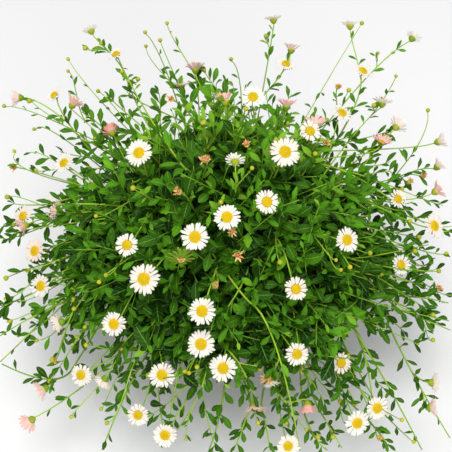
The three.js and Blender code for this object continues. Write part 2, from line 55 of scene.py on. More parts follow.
mound = {
    "radius": 127,
    "skirt": 85,  # height at its edge
    "top": 217,
    "heart": 80,  # height of the point that its lumps grow from
    "rimHeight": 107,  # what grows starts higher than the pot's rim
    "innerRadius": 42,
    "innerStems": 4,
    "outerStems": 10,
    "outerStand": 118,  # stalks past the edge reach this high, and higher to the back
    "outerRise": 0.35,
    "bloomStand": 13,  # how high open blooms stand over it
    "frontLean": 0.35,  # how far heads lean to the light in front
}


# Vectors, as arrays whose last axis holds x, y and z


def unit(vectors):  # each vector divided by its own length
    return vectors / np.maximum(np.linalg.norm(vectors, axis=-1, keepdims=True), 1e-9)


def dots(first, second):  # the dot product of each pair, kept as a last axis of one
    return np.sum(first * second, axis=-1, keepdims=True)


def between(low, high, *shape):  # seeded draws, even between the two
    return rng.uniform(low, high, shape)


def axesOf(along, towards):
    # Rows x, y and z of a turned frame: y runs along, z is the part of towards square to it.
    y = unit(along)
    z = unit(towards - dots(towards, y) * y)
    return np.stack([np.cross(y, z), y, z], axis=-2)


def outwards(angle):  # level directions from the middle at these angles
    return np.stack([np.cos(angle), np.sin(angle), np.zeros(len(angle))], -1)


def tilted(axis, turn, tilt):
    # Each axis, the directions square to it at each turn, and the same tilted away from it.
    axis = np.repeat(axis[:, None], turn.shape[-1], 1)
    out = spun(axis, turn)
    return axis, out, axis * np.cos(tilt)[..., None] + out * np.sin(tilt)[..., None]


def placed(shapes, places, axes):
    # Each copy's points times its frame's axes, plus its place.
    return np.einsum("nvi,nij->nvj", shapes, axes) + places[:, None]


def spun(axis, angle):
    # A direction square to the axis, turned round it by the angle from an arbitrary start.
    start = np.where(np.abs(axis[..., 2:]) < 0.9, up, np.array([1.0, 0.0, 0.0]))
    first = unit(np.cross(axis, start))
    second = np.cross(axis, first)
    return first * np.cos(angle)[..., None] + second * np.sin(angle)[..., None]


# The mound and the photograph's frame


def moundHeight(radius):  # falls with the square of the distance from the middle
    share = 1 - (radius / mound["radius"]) ** 2
    return mound["skirt"] + (mound["top"] - mound["skirt"]) * share


def moundSlope(radius):  # how steeply it falls there
    return 2 * (mound["top"] - mound["skirt"]) * radius / mound["radius"] ** 2


cosLift = math.cos(photo["elevation"])
sinLift = math.sin(photo["elevation"])
eye = np.array([0, -photo["distance"] * cosLift, photo["aimHeight"] + photo["distance"] * sinLift])
pictureRight = np.array([1.0, 0.0, 0.0])
pictureUp = np.array([0.0, sinLift, cosLift])
toCamera = np.array([0.0, -cosLift, sinLift])


def headPlaces(pixels, stand):
    # The first point of each pixel's sight line that is as low as the mound plus its stand, or
    # past the mound's edge as low as a sheet that rises to the back.
    stand = np.reshape(stand, (-1, 1))
    middle = photo["size"] / 2
    across = (pixels[:, 0] - middle) / photo["focal"]
    lift = (middle - pixels[:, 1]) / photo["focal"]
    lines = across[:, None] * pictureRight + lift[:, None] * pictureUp - toCamera
    reach = np.arange(photo["nearest"], photo["furthest"], photo["step"])
    points = eye + reach[None, :, None] * lines[:, None]
    overMound = moundHeight(np.hypot(points[..., 0], points[..., 1])) + stand
    pastEdge = mound["outerStand"] + mound["outerRise"] * points[..., 1] + stand
    pastEdge -= mound["bloomStand"]
    first = np.argmax(points[..., 2] <= np.maximum(overMound, pastEdge), axis=1)
    return points[np.arange(len(pixels)), first]


def outFacing(places, lean):
    # Up, plus out from the middle by the lean, plus a little to the light in front.
    flat = places * np.array([1.0, 1.0, 0.0])
    return unit(flat * lean / mound["radius"] + np.array([0.0, -mound["frontLean"], 1.0]))


def stemAt(places):
    # The leafy stem that a place belongs to: inner ones by quarters, outer ones by tenths.
    turn = np.arctan2(places[:, 1], places[:, 0]) / (2 * math.pi) % 1
    inner = np.hypot(places[:, 0], places[:, 1]) < mound["innerRadius"]
    outerStem = mound["innerStems"] + (turn * mound["outerStems"]).astype(int)
    return np.where(inner, (turn * mound["innerStems"]).astype(int), outerStem)


# Shapes: closed tubes of rings that end in a point at each end


def tubeFaces(rings, sides):
    # Four-sided faces between neighbouring rings, and triangles to the end points.
    index = 1 + np.arange(rings * sides).reshape(rings, sides)
    after = np.roll(index, -1, axis=1)
    quads = np.stack([index[:-1], after[:-1], after[1:], index[1:]], -1).reshape(-1, 4)
    first = np.stack([np.zeros(sides, int), after[0], index[0]], -1)
    last = np.stack([np.full(sides, rings * sides + 1), index[-1], after[-1]], -1)
    return quads, np.concatenate([first, last])


def closedRings(first, rings, last):
    # Points of a tube in the order that tubeFaces reads: end point, rings one by one, end point.
    count = len(rings)
    return np.concatenate([first[:, None], rings.reshape(count, -1, 3), last[:, None]], axis=1)


leafAcross = np.array([-1, -0.5, 0, 0.5, 1, 0])
rayAcross = np.array([-1, 0, 1, 0])


def bladeShapes(
    lengths, widths, rows, halves, fold, rise, curl, thickness, across=leafAcross, tip=1.0
):
    # Across a blade its two halves rise from the midrib by fold times the distance, and bulge
    # between. Along it the height is length times (rise t - curl t squared), and the half width
    # follows the rows. The last point across is the underside, a thickness lower.
    bulge = 0.07 * (np.abs(across) == 0.5)
    under = np.arange(len(across)) == len(across) - 1
    half = (halves * widths[:, None] / 2)[..., None]
    y = np.repeat((rows * lengths[:, None])[..., None], len(across), axis=2)
    arch = lengths[:, None] * (rise[:, None] * rows - curl[:, None] * rows**2)
    z = arch[..., None] + half * (fold[:, None, None] * np.abs(across) + bulge)
    z = z - thickness * under
    foot = np.zeros((len(lengths), 3))
    ends = np.stack([foot[:, 0], tip * lengths, lengths * (rise - curl)], -1)
    return closedRings(foot, np.stack([half * across, y, z], -1), ends)


def mapSpots(across, along, tip=1.0):
    # Map places over a closed tube: the shares across or round it, for each share along it.
    inner = np.stack(np.meshgrid(across, along), -1).reshape(-1, 2)
    return np.concatenate([[[0.5, 0.0]], inner, [[0.5, tip]]])


def bezier(controls, steps):
    # Points and directions of cubic curves through their four controls, at even steps.
    t = np.linspace(0, 1, steps)[None, :, None]
    a, b, c, d = (controls[:, k][:, None] for k in range(4))
    s = 1 - t
    points = s**3 * a + 3 * s**2 * t * b + 3 * s * t**2 * c + t**3 * d
    pulls = s**2 * (b - a) + 2 * s * t * (c - b) + t**2 * (d - c)
    return points, unit(pulls)


def stalkShapes(points, directions, radii, sides):
    # A circle of the radius round each point, square to its direction. The circles start from a
    # direction square to the plane that the curve bends in, so that they don't twist.
    bend = np.cross(directions[:, 0], directions[:, -1])
    straight = np.linalg.norm(bend, axis=-1) < 0.02
    bend[straight] = spun(directions[straight, 0], np.zeros(straight.sum()))
    first = unit(np.cross(directions, unit(bend)[:, None]))
    second = np.cross(directions, first)
    angle = np.arange(sides) / sides * 2 * math.pi
    ring = first[:, :, None] * np.cos(angle)[:, None] + second[:, :, None] * np.sin(angle)[:, None]
    rings = points[:, :, None] + radii[..., None, None] * ring
    return closedRings(points[:, 0], rings, points[:, -1])


def turnedShapes(profiles, sides, ridge=0.0, ridges=0):
    # Profiles of radius and height turned round Y, which is a head's axis. The radius swells by
    # ridge times the cosine of ridges times the angle.
    angle = np.arange(sides) / sides * 2 * math.pi
    swell = 1 + ridge * np.cos(ridges * angle)
    radius = profiles[..., 0, None] * swell
    height = np.repeat(profiles[..., 1, None], sides, axis=-1)
    rings = np.stack([radius * np.cos(angle), height, -radius * np.sin(angle)], -1)
    middle = np.zeros((len(profiles), 3))
    first, last = middle.copy(), middle.copy()
    first[:, 1] = profiles[:, 0, 1]
    last[:, 1] = profiles[:, -1, 1]
    return closedRings(first, rings, last)


def uprightShapes(profiles, sides):  # the same, turned round Z
    return turnedShapes(profiles, sides)[..., [0, 2, 1]]


# Joining: shapes are gathered by the piece that they belong to


def addObject(name, data):  # a new object in the scene, at the origin
    made = bpy.data.objects.new(name, data)
    bpy.context.scene.collection.objects.link(made)
    return made


class Heap:
    # Copies of closed shapes, kept by the piece that they belong to until it is made.
    def __init__(self):
        self.parts = {}

    def add(self, owners, finish, shapes, tint, faces, spots, rim=None):
        # Copies of one closed shape. Its faces are turned over if the first copy's volume comes
        # out below zero, so that they point outwards. Edges between points on its rim are sharp.
        quads, triangles = faces
        corners = shapes[0]
        fans = np.concatenate([quads[:, [0, 1, 2]], quads[:, [0, 2, 3]], triangles])
        volume = np.sum(np.cross(corners[fans[:, 0]], corners[fans[:, 1]]) * corners[fans[:, 2]])
        if volume < 0:
            quads, triangles = quads[:, ::-1], triangles[:, ::-1]
        tint = np.broadcast_to(np.reshape(tint, (len(shapes), -1)), shapes.shape[:2])
        rim = np.zeros(len(corners), bool) if rim is None else np.asarray(rim)
        owners = np.asarray(owners)
        for owner in np.unique(owners):
            mine = owners == owner
            part = (finish, shapes[mine], quads, triangles, spots, tint[mine], rim)
            self.parts.setdefault(owner, []).append(part)

    def addTubes(self, owners, finish, shapes, sides, tint):
        # Copies of a closed tube with so many sides, mapped by the shares round and along it.
        rings = (shapes.shape[1] - 2) // sides
        spots = mapSpots(np.arange(sides) / sides, np.linspace(0, 1, rings))
        self.add(owners, finish, shapes, tint, tubeFaces(rings, sides), spots)

    def piece(self, owner, name):
        # One mesh of all the copies that belong to an owner.
        points, loops, sizes, slots, spots, tints, rims = [], [], [], [], [], [], []
        start = 0
        for finish, shapes, quads, triangles, spot, tint, rim in self.parts[owner]:
            copies, corners = shapes.shape[:2]
            offsets = start + np.arange(copies)[:, None, None] * corners
            for faces in (quads, triangles):
                loops.append((faces[None] + offsets).reshape(-1))
                sizes.append(np.full(copies * len(faces), faces.shape[1]))
                slots.append(np.full(copies * len(faces), finish))
            points.append(shapes.reshape(-1, 3))
            spots.append(np.tile(spot, (copies, 1)))
            tints.append(tint.reshape(-1))
            rims.append(np.tile(rim, copies))
            start += copies * corners
        gathered = (points, loops, sizes, slots, spots, tints, rims)
        points, loops, sizes, slots, spots, tints, rims = map(np.concatenate, gathered)
        used = np.unique(slots)
        mesh = bpy.data.meshes.new(name)
        mesh.vertices.add(len(points))
        mesh.loops.add(len(loops))
        mesh.polygons.add(len(sizes))
        mesh.vertices.foreach_set("co", (points * mm).astype(np.float32).ravel())
        mesh.loops.foreach_set("vertex_index", loops.astype(np.int32))
        mesh.polygons.foreach_set("loop_start", (np.cumsum(sizes) - sizes).astype(np.int32))
        mesh.polygons.foreach_set("material_index", np.searchsorted(used, slots).astype(np.int32))
        mesh.polygons.foreach_set("use_smooth", np.ones(len(sizes), bool))
        layer = mesh.uv_layers.new(name="ownMap")
        layer.uv.foreach_set("vector", spots[loops].astype(np.float32).ravel())
        attribute = mesh.attributes.new("tint", "FLOAT", "POINT")
        attribute.data.foreach_set("value", tints.astype(np.float32))
        for finish in used:
            mesh.materials.append(finishes[finish])
        mesh.update(calc_edges=True)
        ends = np.zeros(2 * len(mesh.edges), np.int32)
        mesh.edges.foreach_get("vertices", ends)
        sharp = mesh.attributes.new("sharp_edge", "BOOLEAN", "EDGE")
        sharp.data.foreach_set("value", rims[ends[::2]] & rims[ends[1::2]])
        made = addObject(name, mesh)
        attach(made, "root")
        return made


# Finishes


def linear(red, green, blue):
    # A colour as a picture gives it, 0 to 255, to the light that it stands for.
    shares = np.array([red, green, blue]) / 255
    light = np.where(shares <= 0.04045, shares / 12.92, ((shares + 0.055) / 1.055) ** 2.4)
    return (*light.tolist(), 1.0)


class Shade:
    # One output of a shader node. Sums, differences and products of values add Math nodes.
    def __init__(self, tree, socket=None):
        self.tree = tree
        self.socket = socket

    def node(self, kind, settings=None, inputs=None, output=0):
        # Any node by its type, its settings, and the values or links of its sockets.
        made = self.tree.nodes.new(kind)
        for name, value in (settings or {}).items():
            setattr(made, name, value)
        for name, value in (inputs or {}).items():
            if isinstance(value, Shade):
                self.tree.links.new(value.socket, made.inputs[name])
            else:
                made.inputs[name].default_value = value
        return Shade(self.tree, made.outputs[output])

    def maths(self, operation, first, second=0.0, clamp=False):  # a Math node on two values
        settings = {"operation": operation, "use_clamp": clamp}
        return self.node("ShaderNodeMath", settings, {0: first, 1: second})

    def __add__(self, other):
        return self.maths("ADD", self, other)

    def __radd__(self, other):
        return self.maths("ADD", other, self)

    def __sub__(self, other):
        return self.maths("SUBTRACT", self, other)

    def __rsub__(self, other):
        return self.maths("SUBTRACT", other, self)

    def __mul__(self, other):
        return self.maths("MULTIPLY", self, other)

    def __rmul__(self, other):
        return self.maths("MULTIPLY", other, self)

    def wave(self):  # its sine
        return self.maths("SINE", self)

    def size(self):  # the value without its sign
        return self.maths("ABSOLUTE", self)

    def within(self):  # held between 0 and 1
        return self.maths("ADD", self, clamp=True)

    def blend(self, first, second):
        # This value mixes from the first colour to the second.
        inputs = {0: self, 6: first, 7: second}
        settings = {"data_type": "RGBA", "clamp_factor": True}
        return self.node("ShaderNodeMix", settings, inputs, 2)

    def tint(self):  # the attribute that each copy has its own value of
        return self.node("ShaderNodeAttribute", {"attribute_name": "tint"}, output="Fac")

    def mapPlace(self):  # the shares across and along a shape, from its own map
        spot = self.node("ShaderNodeUVMap", {"uv_map": "ownMap"})
        parts = spot.node("ShaderNodeSeparateXYZ", inputs={0: spot})
        along = Shade(self.tree, parts.socket.node.outputs[1])
        return parts, along

    def noise(self, perMetre, detail=2.0):  # of the place on the object
        place = self.node("ShaderNodeTexCoord", output="Object")
        inputs = {"Vector": place, "Scale": perMetre, "Detail": detail}
        return self.node("ShaderNodeTexNoise", inputs=inputs)

    def bump(self, strength, depth):  # a normal as if the surface rose by it times the depth
        inputs = {"Height": self, "Strength": strength, "Distance": depth}
        return self.node("ShaderNodeBump", inputs=inputs)


def newFinish(name, paint, specular=0.5, fixed=None):
    # paint gives the colour, roughness and relief that change over the surface, and the rest is
    # the same all over it.
    material = bpy.data.materials.new(name)
    material.use_nodes = True
    tree = material.node_tree
    tree.nodes.clear()
    start = Shade(tree)
    inputs = dict(zip(("Base Color", "Roughness", "Normal"), paint(start)))
    inputs.update(fixed or {}, **{"Specular IOR Level": specular})
    shader = start.node("ShaderNodeBsdfPrincipled", inputs=inputs)
    end = tree.nodes.new("ShaderNodeOutputMaterial")
    tree.links.new(shader.socket, end.inputs["Surface"])
    return material


leafLook = {
    "deep": linear(4, 34, 1),
    "fresh": linear(85, 150, 15),
    # yellow-green for new tips, and painted light shining through the highest leaves
    "youngAndLitThrough": linear(150, 190, 58),  # past a tint of 1
    "rib": linear(132, 188, 62),
    "dull": linear(24, 70, 6),
    "ribNarrow": 9.0,
    "veins": 6.0,  # to each side
    "veinForward": 1.3,
    "patches": 70.0,  # to a metre
}


def leafPaint(shade):
    # Green from deep to pale by the leaf's tint, dull in patches, with a pale midrib and side veins
    # that run forward from it. Past a tint of 1 it turns the yellow-green of new tips and of
    # painted light shining through the highest leaves, and low in the mound the tint carries
    # painted shade.
    across, along = shade.mapPlace()
    fromRib = (across - 0.5).size() * 2.0
    rib = (1.0 - fromRib * leafLook["ribNarrow"]).within()
    veins = along * leafLook["veins"] - fromRib * leafLook["veinForward"]
    vein = ((veins * 6.283).wave() * 5.0 - 4.0).within()
    patch = shade.noise(leafLook["patches"])
    tint = shade.tint()
    green = tint.blend(leafLook["deep"], leafLook["fresh"])
    green = (patch * 1.6 - 0.55).within().blend(green, leafLook["dull"])
    green = (tint - 1.0).within().blend(green, leafLook["youngAndLitThrough"])
    green = (rib * 0.55 + vein * 0.16).blend(green, leafLook["rib"])
    relief = (shade.noise(900.0) * 0.4 - rib * 0.8 - vein * 0.4).bump(0.5, 0.0004)
    return green, 0.4 + patch * 0.2, relief


stemLook = {
    "green": linear(156, 192, 52),
    "dark": linear(96, 150, 26),
    "red": linear(120, 74, 44),
    "patches": 55.0,
}


def stemPaint(shade):  # green by the stalk's tint, red in patches
    patch = shade.noise(stemLook["patches"])
    green = shade.tint().blend(stemLook["dark"], stemLook["green"])
    red = (patch * 4.0 - 2.35).within() * 0.7
    relief = shade.noise(1400.0).bump(0.3, 0.0002)
    colour = red.blend(green, stemLook["red"])
    return colour, 0.5 + patch * 0.15, relief


rayLook = {
    "white": linear(245, 239, 224),
    "pink": linear(254, 150, 140),
    "shadow": linear(232, 223, 206),
    "lines": 18.85,  # radians across, for three
}


def rayPaint(shade):  # white with three fine lines along it, and pink to its tip by the tint
    across, along = shade.mapPlace()
    lines = (across * rayLook["lines"]).wave()
    line = (lines * 0.5 + 0.5) * 0.35
    white = (line * (1.0 - along * 0.6)).blend(rayLook["white"], rayLook["shadow"])
    pink = (shade.tint() * (0.7 + along * 0.5) + shade.noise(600.0) * 0.1 - 0.05).within()
    relief = lines.bump(0.2, 0.0001)
    rough = 0.5 + shade.noise(300.0) * 0.1
    return pink.blend(white, rayLook["pink"]), rough, relief


discLook = {
    "middle": linear(212, 198, 30),
    "edge": linear(242, 206, 8),
    "grain": linear(222, 158, 4),
    "grains": 1500.0,  # to a metre
}


def discPaint(shade):  # yellow from the middle to the edge, with a darker grain
    yellow = shade.tint().blend(discLook["middle"], discLook["edge"])
    grain = (shade.noise(discLook["grains"]) * 3.0 - 1.3).within() * 0.75
    relief = shade.noise(2200.0).bump(0.5, 0.0003)
    colour = grain.blend(yellow, discLook["grain"])
    return colour, 0.55 + grain * 0.2, relief


cupLook = {
    "green": linear(106, 142, 18),
    "pale": linear(190, 188, 36),
    "tip": linear(214, 184, 48),
    "bracts": 88.0,  # radians round it, for 14
}


def cupPaint(shade):  # green with pale bracts round it, and yellow at its mouth
    across, along = shade.mapPlace()
    bract = ((across * cupLook["bracts"]).wave() * 0.5 + 0.5) * 0.5
    green = (shade.tint() + bract * 0.4 - 0.1).within().blend(cupLook["green"], cupLook["pale"])
    tip = (along * 3.0 - 2.4).within() * 0.5
    relief = (shade.noise(1800.0) + bract).bump(0.5, 0.0003)
    rough = 0.5 + shade.noise(400.0) * 0.15
    return tip.blend(green, cupLook["tip"]), rough, relief


def speckled(look):
    # Mixes two colours by a noise, and by the tint. The noise roughens the surface and raises it.
    def paint(shade):
        patch = shade.noise(look["scale"], look["detail"])
        share = patch * look["contrast"] - look["offset"] + shade.tint() * look["tinted"]
        colour = share.within().blend(look["first"], look["second"])
        rough = look["rough"] + patch * look["rougher"]
        return colour, rough, patch.bump(look["relief"], look["depth"])

    return paint


spentLook = {
    "first": linear(244, 200, 140), "second": linear(196, 132, 76), "scale": 700.0, "detail": 4.0,
    "contrast": 1.5, "offset": 0.4, "tinted": 0.3, "rough": 0.7, "rougher": 0.2, "relief": 0.6,
    "depth": 0.0004,
}
woodLook = {
    "first": linear(58, 44, 28), "second": linear(104, 78, 50), "scale": 260.0, "detail": 5.0,
    "contrast": 1.8, "offset": 0.4, "tinted": 0.0, "rough": 0.75, "rougher": 0.2, "relief": 0.6,
    "depth": 0.0006,
}
# the dark inside: painted shade deep among the stems and leaves
shadeLook = {
    "first": linear(10, 30, 6), "second": linear(26, 62, 14), "scale": 140.0, "detail": 4.0,
    "contrast": 2.4, "offset": 0.8, "tinted": 0.0, "rough": 0.75, "rougher": 0.2, "relief": 1.0,
    "depth": 0.004,
}
soilLook = {
    "first": linear(36, 25, 17), "second": linear(84, 62, 42), "scale": 420.0, "detail": 5.0,
    "contrast": 2.0, "offset": 0.65, "tinted": 0.0, "rough": 0.85, "rougher": 0.12, "relief": 0.8,
    "depth": 0.0012,
}
potLook = {
    "dark": linear(48, 47, 45),
    "worn": linear(66, 64, 61),
    "patches": 34.0,
}


def potPaint(shade):  # charcoal that is paler where it is worn, with a fine grain
    patch = shade.noise(potLook["patches"], 4.0)
    colour = (patch * 1.6 - 0.5).within().blend(potLook["dark"], potLook["worn"])
    relief = shade.noise(900.0).bump(0.15, 0.0003)
    return colour, 0.5 + patch * 0.15, relief


petalGlow = {
    "Subsurface Weight": 0.5,
    "Subsurface Radius": (1.0, 0.9, 0.85),
    "Subsurface Scale": 0.0008,
}
finishes = [
    newFinish("leafGreen", leafPaint, 0.1),
    newFinish("stemGreen", stemPaint, 0.2),
    newFinish("rayWhite", rayPaint, 0.2, petalGlow),
    newFinish("discYellow", discPaint, 0.15),
    newFinish("cupGreen", cupPaint, 0.3),
    newFinish("spentTan", speckled(spentLook), 0.2),
    newFinish("woodyBark", speckled(woodLook), 0.2),
    newFinish("paintedShadeDark", speckled(shadeLook), 0.1),
    newFinish("potCharcoal", potPaint, 0.4),
    newFinish("soilBrown", speckled(soilLook), 0.2),
]
leafGreen, stemGreen, rayWhite, discYellow, cupGreen = range(5)
spentTan, woodyBark, paintedShadeDark, potCharcoal, soilBrown = range(5, 10)
print("finishes ready")

heap = Heap()

# Flower heads, by their places in the photograph

# Open blooms: pixel across, pixel down, millimetres wide, pink from 0 to 1
blooms = np.array([
    [285, 152, 20, 0.14], [139, 153, 19, 0.02], [64, 163, 17, 0.02], [35, 251, 18, 0.25],
    [127, 245, 16, 0.03], [41, 286, 17.5, 0.03], [144, 279, 21, 0.08], [195, 237, 19, 0.02],
    [227, 217, 17.5, 0.02], [267, 202, 16, 0.08], [114, 324, 18, 0.05], [81, 375, 16.5, 0.1],
    [202, 311, 19, 0.02], [201, 344, 19.5, 0.02], [162, 375, 18.5, 0.05], [223, 368, 19, 0.03],
    [138, 415, 16, 0.1], [165, 435, 17.5, 0.08], [297, 354, 16.8, 0.08], [341, 363, 15, 0.22],
    [296, 289, 15.8, 0.12], [347, 240, 17.5, 0.05], [401, 265, 16, 0.03], [398, 199, 15.5, 0.03],
    [434, 226, 19, 0.1], [253, 97, 17, 0.03], [342, 113, 17, 0.03], [310, 131, 15.5, 0.12],
    [363, 71, 16.5, 0.08], [286, 64, 16, 0.05], [23, 216, 16, 0.2], [377, 408, 18, 0.02],
    [357, 423, 18.5, 0.02], [288, 446, 17, 0.08], [116, 54, 14, 0.05], [54, 95, 14, 0.05],
])

# Closing and side-on heads: pixel across, pixel down, the way that they face in the picture in
# degrees with 90 up, pink from 0 to 1, how far their rays spread from the axis in degrees, and
# how much they turn to the camera, less than 0 where they are seen from behind
closing = np.array([
    [75, 101, 60, 0.65, 42, 0.1], [110, 130, 120, 0.9, 50, -0.5], [195, 65, 90, 0.5, 52, 0.0],
    [224, 96, 100, 0.55, 30, 0.1], [273, 15, 95, 0.1, 66, 0.0], [292, 45, 80, 0.35, 45, 0.1],
    [287, 101, 90, 0.6, 45, 0.2], [350, 21, 90, 0.1, 60, 0.0], [415, 35, 60, 0.1, 60, -0.3],
    [399, 124, 50, 0.2, 55, -0.4], [383, 138, 70, 0.7, 62, 0.5], [383, 99, 80, 0.2, 60, 0.0],
    [316, 121, 90, 0.6, 50, 0.4], [440, 189, 30, 0.6, 50, 0.2], [441, 163, 40, 0.2, 40, 0.2],
    [443, 140, 20, 0.15, 35, 0.3], [20, 228, 200, 0.65, 50, 0.2], [55, 210, 160, 0.5, 55, -0.4],
    [57, 324, 200, 0.2, 60, -0.4], [28, 423, 220, 0.7, 45, -0.3], [40, 391, 200, 0.5, 50, 0.2],
    [102, 383, 230, 0.2, 60, -0.4], [255, 411, 275, 0.6, 66, 0.3], [308, 410, 265, 0.8, 38, 0.1],
    [437, 383, 0, 0.2, 62, -0.2], [435, 407, 5, 0.4, 52, 0.1], [235, 157, 95, 0.02, 74, -0.9],
    [89, 27, 120, 0.05, 60, -0.2], [15, 98, 170, 0.4, 40, 0.1], [272, 387, 280, 0.05, 62, 0.2],
    [181, 81, 95, 0.1, 66, 0.4],
])

# Spent heads: pixel across, pixel down, and how far each has crumpled, from 0 to 1
spent = np.array([
    [177, 191, 0.8], [203, 159, 0.4], [207, 158, 0.4], [238, 255, 1], [339, 85, 0.3],
    [327, 142, 0.3], [424, 175, 0.1], [440, 288, 0.3], [382, 439, 0], [268, 379, 1],
    [181, 259, 0.3], [232, 232, 0.5], [246, 143, 0.3], [170, 98, 0.3], [222, 96, 0.6],
    [214, 285, 0.2], [13, 167, 0.4], [178, 81, 0.2], [53, 360, 0.3], [412, 180, 0.3],
])

buds = np.array([
    [4, 106], [29, 101], [34, 129], [68, 59], [68, 71], [85, 48], [101, 43], [98, 91],
    [122, 72], [138, 79], [130, 83], [145, 32], [146, 46], [167, 23], [160, 40], [231, 59],
    [266, 36], [362, 23], [378, 53], [396, 76], [374, 105], [428, 110], [349, 90], [36, 170],
    [14, 151], [7, 197], [133, 188], [96, 216], [106, 275], [99, 282], [221, 202], [252, 168],
    [280, 262], [341, 270], [350, 267], [336, 260], [370, 253], [410, 221], [415, 251],
    [439, 271], [394, 290], [433, 315], [433, 340], [402, 420], [318, 437], [333, 437],
    [414, 442], [258, 423], [260, 369], [286, 423], [185, 372], [189, 373], [197, 367],
    [186, 439], [101, 409], [107, 423], [71, 417], [86, 345], [52, 360], [74, 309],
])

bloomPlaces = headPlaces(blooms[:, :2], mound["bloomStand"])

# Long stems that the photograph shows: the pixels across and down of where each comes out of the
# mound, of a point half way and of its end. One that ends at a head carries that head.
wires = np.array([
    [190, 175, 150, 118, 119, 60], [182, 120, 165, 68, 147, 35],
    [135, 132, 98, 98, 69, 62], [100, 136, 45, 117, 6, 106], [112, 152, 62, 124, 30, 104],
    [96, 162, 72, 128, 56, 99], [133, 182, 108, 145, 78, 106], [292, 142, 323, 88, 361, 26],
    [335, 114, 372, 72, 412, 38], [265, 92, 269, 55, 272, 19],
    [343, 142, 354, 108, 362, 76], [320, 180, 358, 130, 382, 102], [398, 184, 418, 145, 428, 113],
    [352, 188, 376, 150, 398, 127], [395, 180, 414, 171, 438, 164],
    [60, 178, 24, 168, 14, 152], [88, 160, 55, 133, 35, 129], [246, 112, 240, 84, 231, 62],
    [78, 297, 40, 313, 0, 336], [56, 305, 33, 330, 0, 362], [70, 372, 45, 379, 2, 364],
    [130, 350, 117, 377, 102, 404], [142, 342, 134, 362, 127, 384], [142, 362, 122, 402, 102, 450],
    [86, 384, 58, 404, 31, 422], [206, 360, 200, 392, 177, 430], [187, 398, 178, 414, 168, 429],
    [225, 382, 219, 418, 209, 450], [252, 304, 277, 350, 300, 450],
    [226, 348, 245, 374, 254, 404], [312, 330, 328, 350, 338, 361], [334, 368, 344, 394, 354, 420],
    [352, 326, 388, 386, 422, 450], [360, 338, 367, 366, 372, 398], [390, 328, 414, 376, 450, 438],
    [318, 408, 330, 428, 342, 448], [250, 408, 241, 432, 234, 450], [262, 410, 267, 432, 270, 450],
    [304, 412, 314, 436, 327, 450], [276, 390, 284, 400, 290, 410], [384, 414, 399, 429, 412, 441],
    [368, 420, 380, 434, 388, 446], [400, 310, 428, 321, 450, 330],
    [18, 300, 8, 304, 0, 308], [398, 296, 424, 298, 448, 303],
])


# Leaves

leaf = {
    "plainRows": [0.06, 0.2, 0.4, 0.6, 0.79, 0.93],  # shares of the length
    "plainHalves": [0.13, 0.32, 0.8, 1.0, 0.82, 0.42],  # shares of the half width there
    "toothRows": [0.06, 0.2, 0.44, 0.66, 0.71, 0.9],
    "toothHalves": [0.13, 0.24, 0.78, 1.02, 0.8, 0.42],
    "toothShare": 0.22,
    "thickness": 0.3,
    "fold": [0.1, 0.5],
    "rise": [0.05, 0.3],
    "curl": [0.5, 1.5],  # times what its plant gives
    "sway": 0.12,
    "bloomGap": 3,  # from the sight of a bloom to the leaf's tested point
    "testedAt": 0.6,  # of its length
    "longest": 23,
    "widest": 10,
}
leafForm = (
    tubeFaces(6, 6),
    mapSpots([0, 0.25, 0.5, 0.75, 1, 0.5], leaf["plainRows"]),
    [True, *[True, False, False, False, True, False] * 6, True],
)


def clearOfBlooms(points):
    # Whether points stay out of the way between each bloom and the camera: further from its
    # sight line than its half width, or behind it.
    sight = unit(eye - bloomPlaces)
    gap = points[:, None] - bloomPlaces[None]
    ahead = np.sum(gap * sight[None], axis=-1)
    aside = np.sqrt(np.maximum(np.sum(gap**2, axis=-1) - ahead**2, 0))
    return ~np.any((ahead > -1) & (aside < blooms[:, 2] * 0.5 + leaf["bloomGap"]), axis=1)


def addBlades(owners, finish, shapes, tint, form, roots, along, towards):
    # Blades placed by their roots, the way that they point and the way that their faces look.
    axes = axesOf(along.reshape(-1, 3), towards.reshape(-1, 3))
    heap.add(owners, finish, placed(shapes, roots.reshape(-1, 3), axes), tint, *form)


def growLeaves(owners, places, along, towards, lengths, widths, tint, curl=0.25):
    # Blades in rows, one row for each owner, a share of them with a tooth on each side below the
    # tip. Sideways each sways by its share times its length's square.
    owners = np.repeat(owners, lengths.shape[1])
    places, along, towards = (rows.reshape(-1, 3) for rows in (places, along, towards))
    lengths, widths, tint = lengths.ravel(), widths.ravel(), tint.ravel()
    kept = clearOfBlooms(places + along * lengths[:, None] * leaf["testedAt"])
    owners, places, tint = owners[kept], places[kept], tint[kept]
    along, towards = along[kept], towards[kept]
    lengths = np.minimum(lengths[kept], leaf["longest"])
    widths = np.minimum(widths[kept], leaf["widest"])
    count = len(places)
    toothed = (rng.random(count) < leaf["toothShare"])[:, None]
    rows = np.where(toothed, leaf["toothRows"], leaf["plainRows"])
    halves = np.where(toothed, leaf["toothHalves"], leaf["plainHalves"])
    fold = between(*leaf["fold"], count)
    rise = between(*leaf["rise"], count)
    bend = curl * between(*leaf["curl"], count)
    shapes = bladeShapes(lengths, widths, rows, halves, fold, rise, bend, leaf["thickness"])
    sway = between(-leaf["sway"], leaf["sway"], count)[:, None]
    shapes[..., 0] += sway * shapes[..., 1] ** 2 / lengths[:, None]
    addBlades(owners, leafGreen, shapes, tint, leafForm, places, along, towards)


def growTubes(owners, finish, controls, radii, sides, tint):
    # Closed tubes along cubic curves, with the radii at even steps.
    points, directions = bezier(controls, radii.shape[-1])
    heap.addTubes(owners, finish, stalkShapes(points, directions, radii, sides), sides, tint)
    return points, directions


